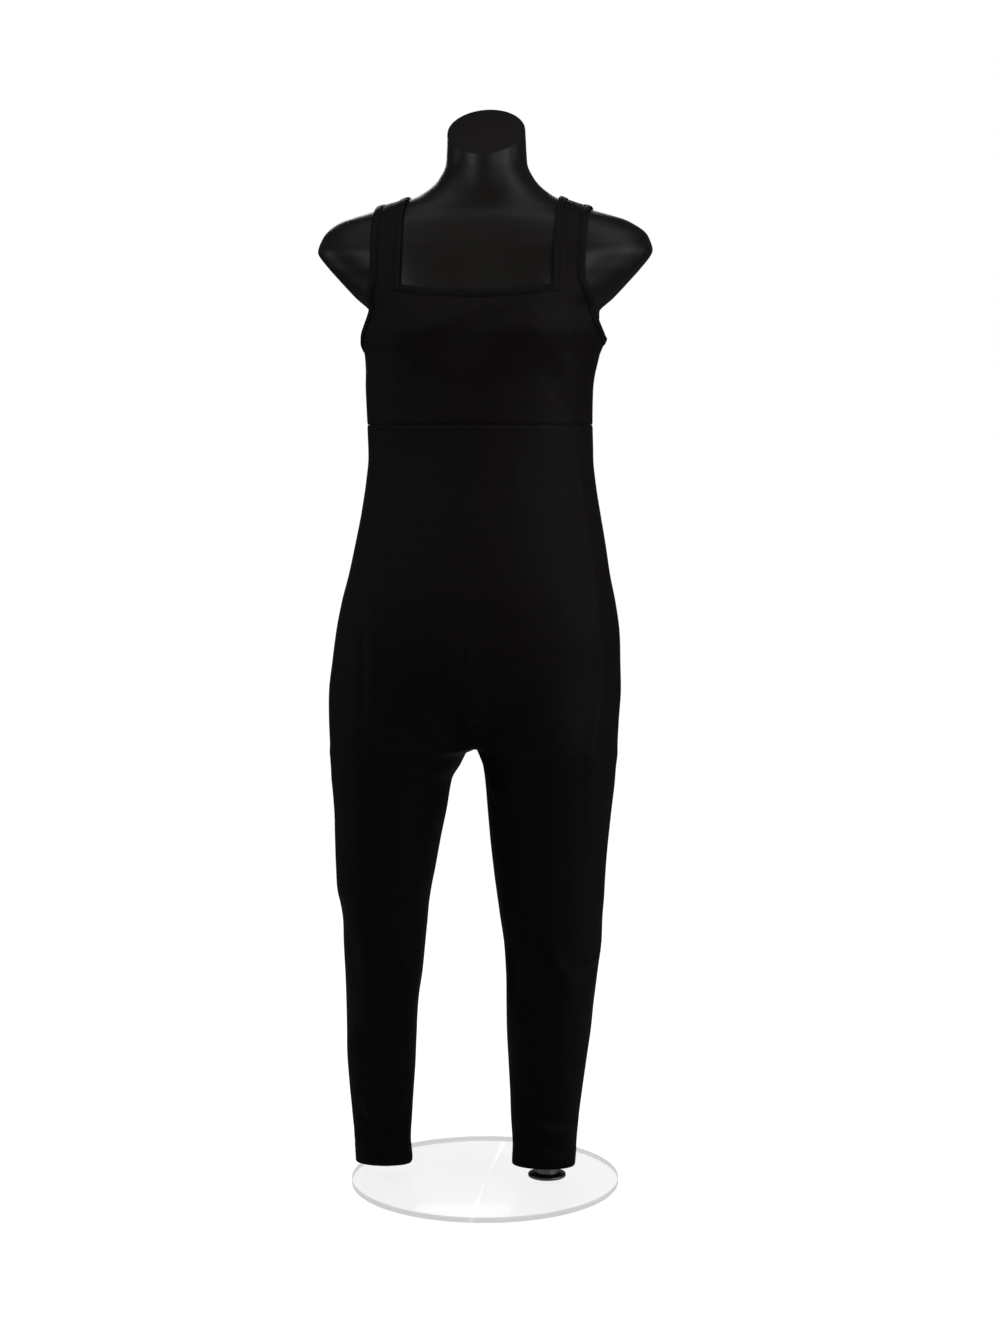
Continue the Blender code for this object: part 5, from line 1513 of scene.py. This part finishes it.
def add_camera():
    turn = math.radians(CAMERA_AZIMUTH)
    sideways = Vector((math.cos(turn), math.sin(turn), 0.0)) * SIDE_SHIFT
    target = sideways + Vector((0.0, 0.0, TARGET_HEIGHT))
    away_x = math.sin(turn) * CAMERA_DISTANCE
    away_y = -math.cos(turn) * CAMERA_DISTANCE
    place = sideways + Vector((away_x, away_y, CAMERA_HEIGHT))
    camera = bpy.data.objects.new("camera", bpy.data.cameras.new("camera"))
    camera.data.lens = LENS
    camera.data.sensor_fit = "VERTICAL"
    camera.data.sensor_height = SENSOR
    camera.location = place
    camera.rotation_mode = "QUATERNION"
    camera.rotation_quaternion = (target - place).to_track_quat("-Z", "Y")
    bpy.context.scene.collection.objects.link(camera)
    bpy.context.scene.camera = camera


def add_studio():
    half = FLOOR_SIZE / 2 / MM
    floor = link_object("floor", [(-half, -half, 0), (half, -half, 0), (half, half, 0), (-half, half, 0)],
                        [(0, 1, 2, 3)], pale_floor())
    world = bpy.data.worlds.new("studio")
    world.use_nodes = True
    tree = world.node_tree
    background = tree.nodes["Background"]
    background.inputs["Color"].default_value = linear(WORLD_COLOUR)
    seen = add_node(tree, "ShaderNodeLightPath")
    strength = add_node(tree, "ShaderNodeMapRange", {"To Min": ROOM_LIGHT, "To Max": 1.0},
                        {"Value": seen.outputs["Is Camera Ray"]})
    tree.links.new(strength.outputs["Result"], background.inputs["Strength"])
    bpy.context.scene.world = world
    bpy.context.scene.view_settings.view_transform = "Standard"
    for row in AREA_LIGHTS:
        entry = dict(zip(AREA_COLUMNS, row))
        light = bpy.data.lights.new(entry["name"], "AREA")
        light.shape = "RECTANGLE"
        light.size = entry["width"]
        light.size_y = entry["height"]
        light.energy = entry["power"]
        light.spread = math.radians(entry["spread"])
        lamp = bpy.data.objects.new(entry["name"], light)
        lamp.location = entry["place"]
        lamp.rotation_mode = "QUATERNION"
        way = Vector(entry["target"]) - Vector(entry["place"])
        lamp.rotation_quaternion = way.to_track_quat("-Z", "Y")
        bpy.context.scene.collection.objects.link(lamp)


def place_piece(made, slot, *nodes):
    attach(made, "root")
    if nodes:
        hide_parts(*nodes)


def build_form_and_stand():
    form = form_object(moulded_plastic())
    place_piece(form, "form_plastic", "form_body")
    steel = brushed_steel()
    slots = {"stand_base": "base_glass", "stand_socket": "rod_steel", "stand_rod": "rod_steel"}
    for node, made in stand_objects(tempered_glass(), steel).items():
        place_piece(made, slots[node], node)
    return form


def build_garment():
    body = jersey("nylon_elastane_jersey", "#140E11", "#1B1418", WALE, COURSE, 0.5)
    band = jersey("folded_jersey_band", "#130E10", "#191317", WALE * 0.8, COURSE * 0.8, 0.4)
    thread = sewing_thread()
    lower = {side: lower_cloth(side) for side in (FRONT, BACK)}
    hems = [hem_stitches(lower[FRONT], lower[BACK], leg, hem, thread)
            for leg, hem in (("right", HEM_RIGHT), ("left", HEM_LEFT))]
    front = finish_lower(lower[FRONT], "lower_front_cloth", body)
    back = finish_lower(lower[BACK], "lower_back_cloth", body)
    place_piece(front, "jersey", "lower_front")
    place_piece(back, "jersey", "lower_back")
    for stitches in hems:
        place_piece(stitches, "jersey")
    bodices = ((FRONT, "front_bodice_cloth", "front_bodice"), (BACK, "back_bodice_cloth", "back_bodice"))
    for side, name, node in bodices:
        made = finish_bodice(bodice_cloth(side), name, body)
        place_piece(made, "jersey", node)
    bands = (
        ("neck_band", "neck", "neck_binding",
         ((FRONT, -1, False), (BACK, -1, True), (BACK, 1, False), (FRONT, 1, True))),
        ("armhole_band_right", "armhole", "armhole_binding_right", ((FRONT, -1, False), (BACK, -1, True))),
        ("armhole_band_left", "armhole", "armhole_binding_left", ((FRONT, 1, False), (BACK, 1, True))),
    )
    for name, kind, node, hands in bands:
        made, stitches, length = band_object(name, kind, hands, band, thread)
        place_piece(made, "jersey_band", node)
        place_piece(stitches, "jersey_band")


add_camera()
add_studio()
form_piece = build_form_and_stand()
build_garment()
bpy.context.view_layer.update()
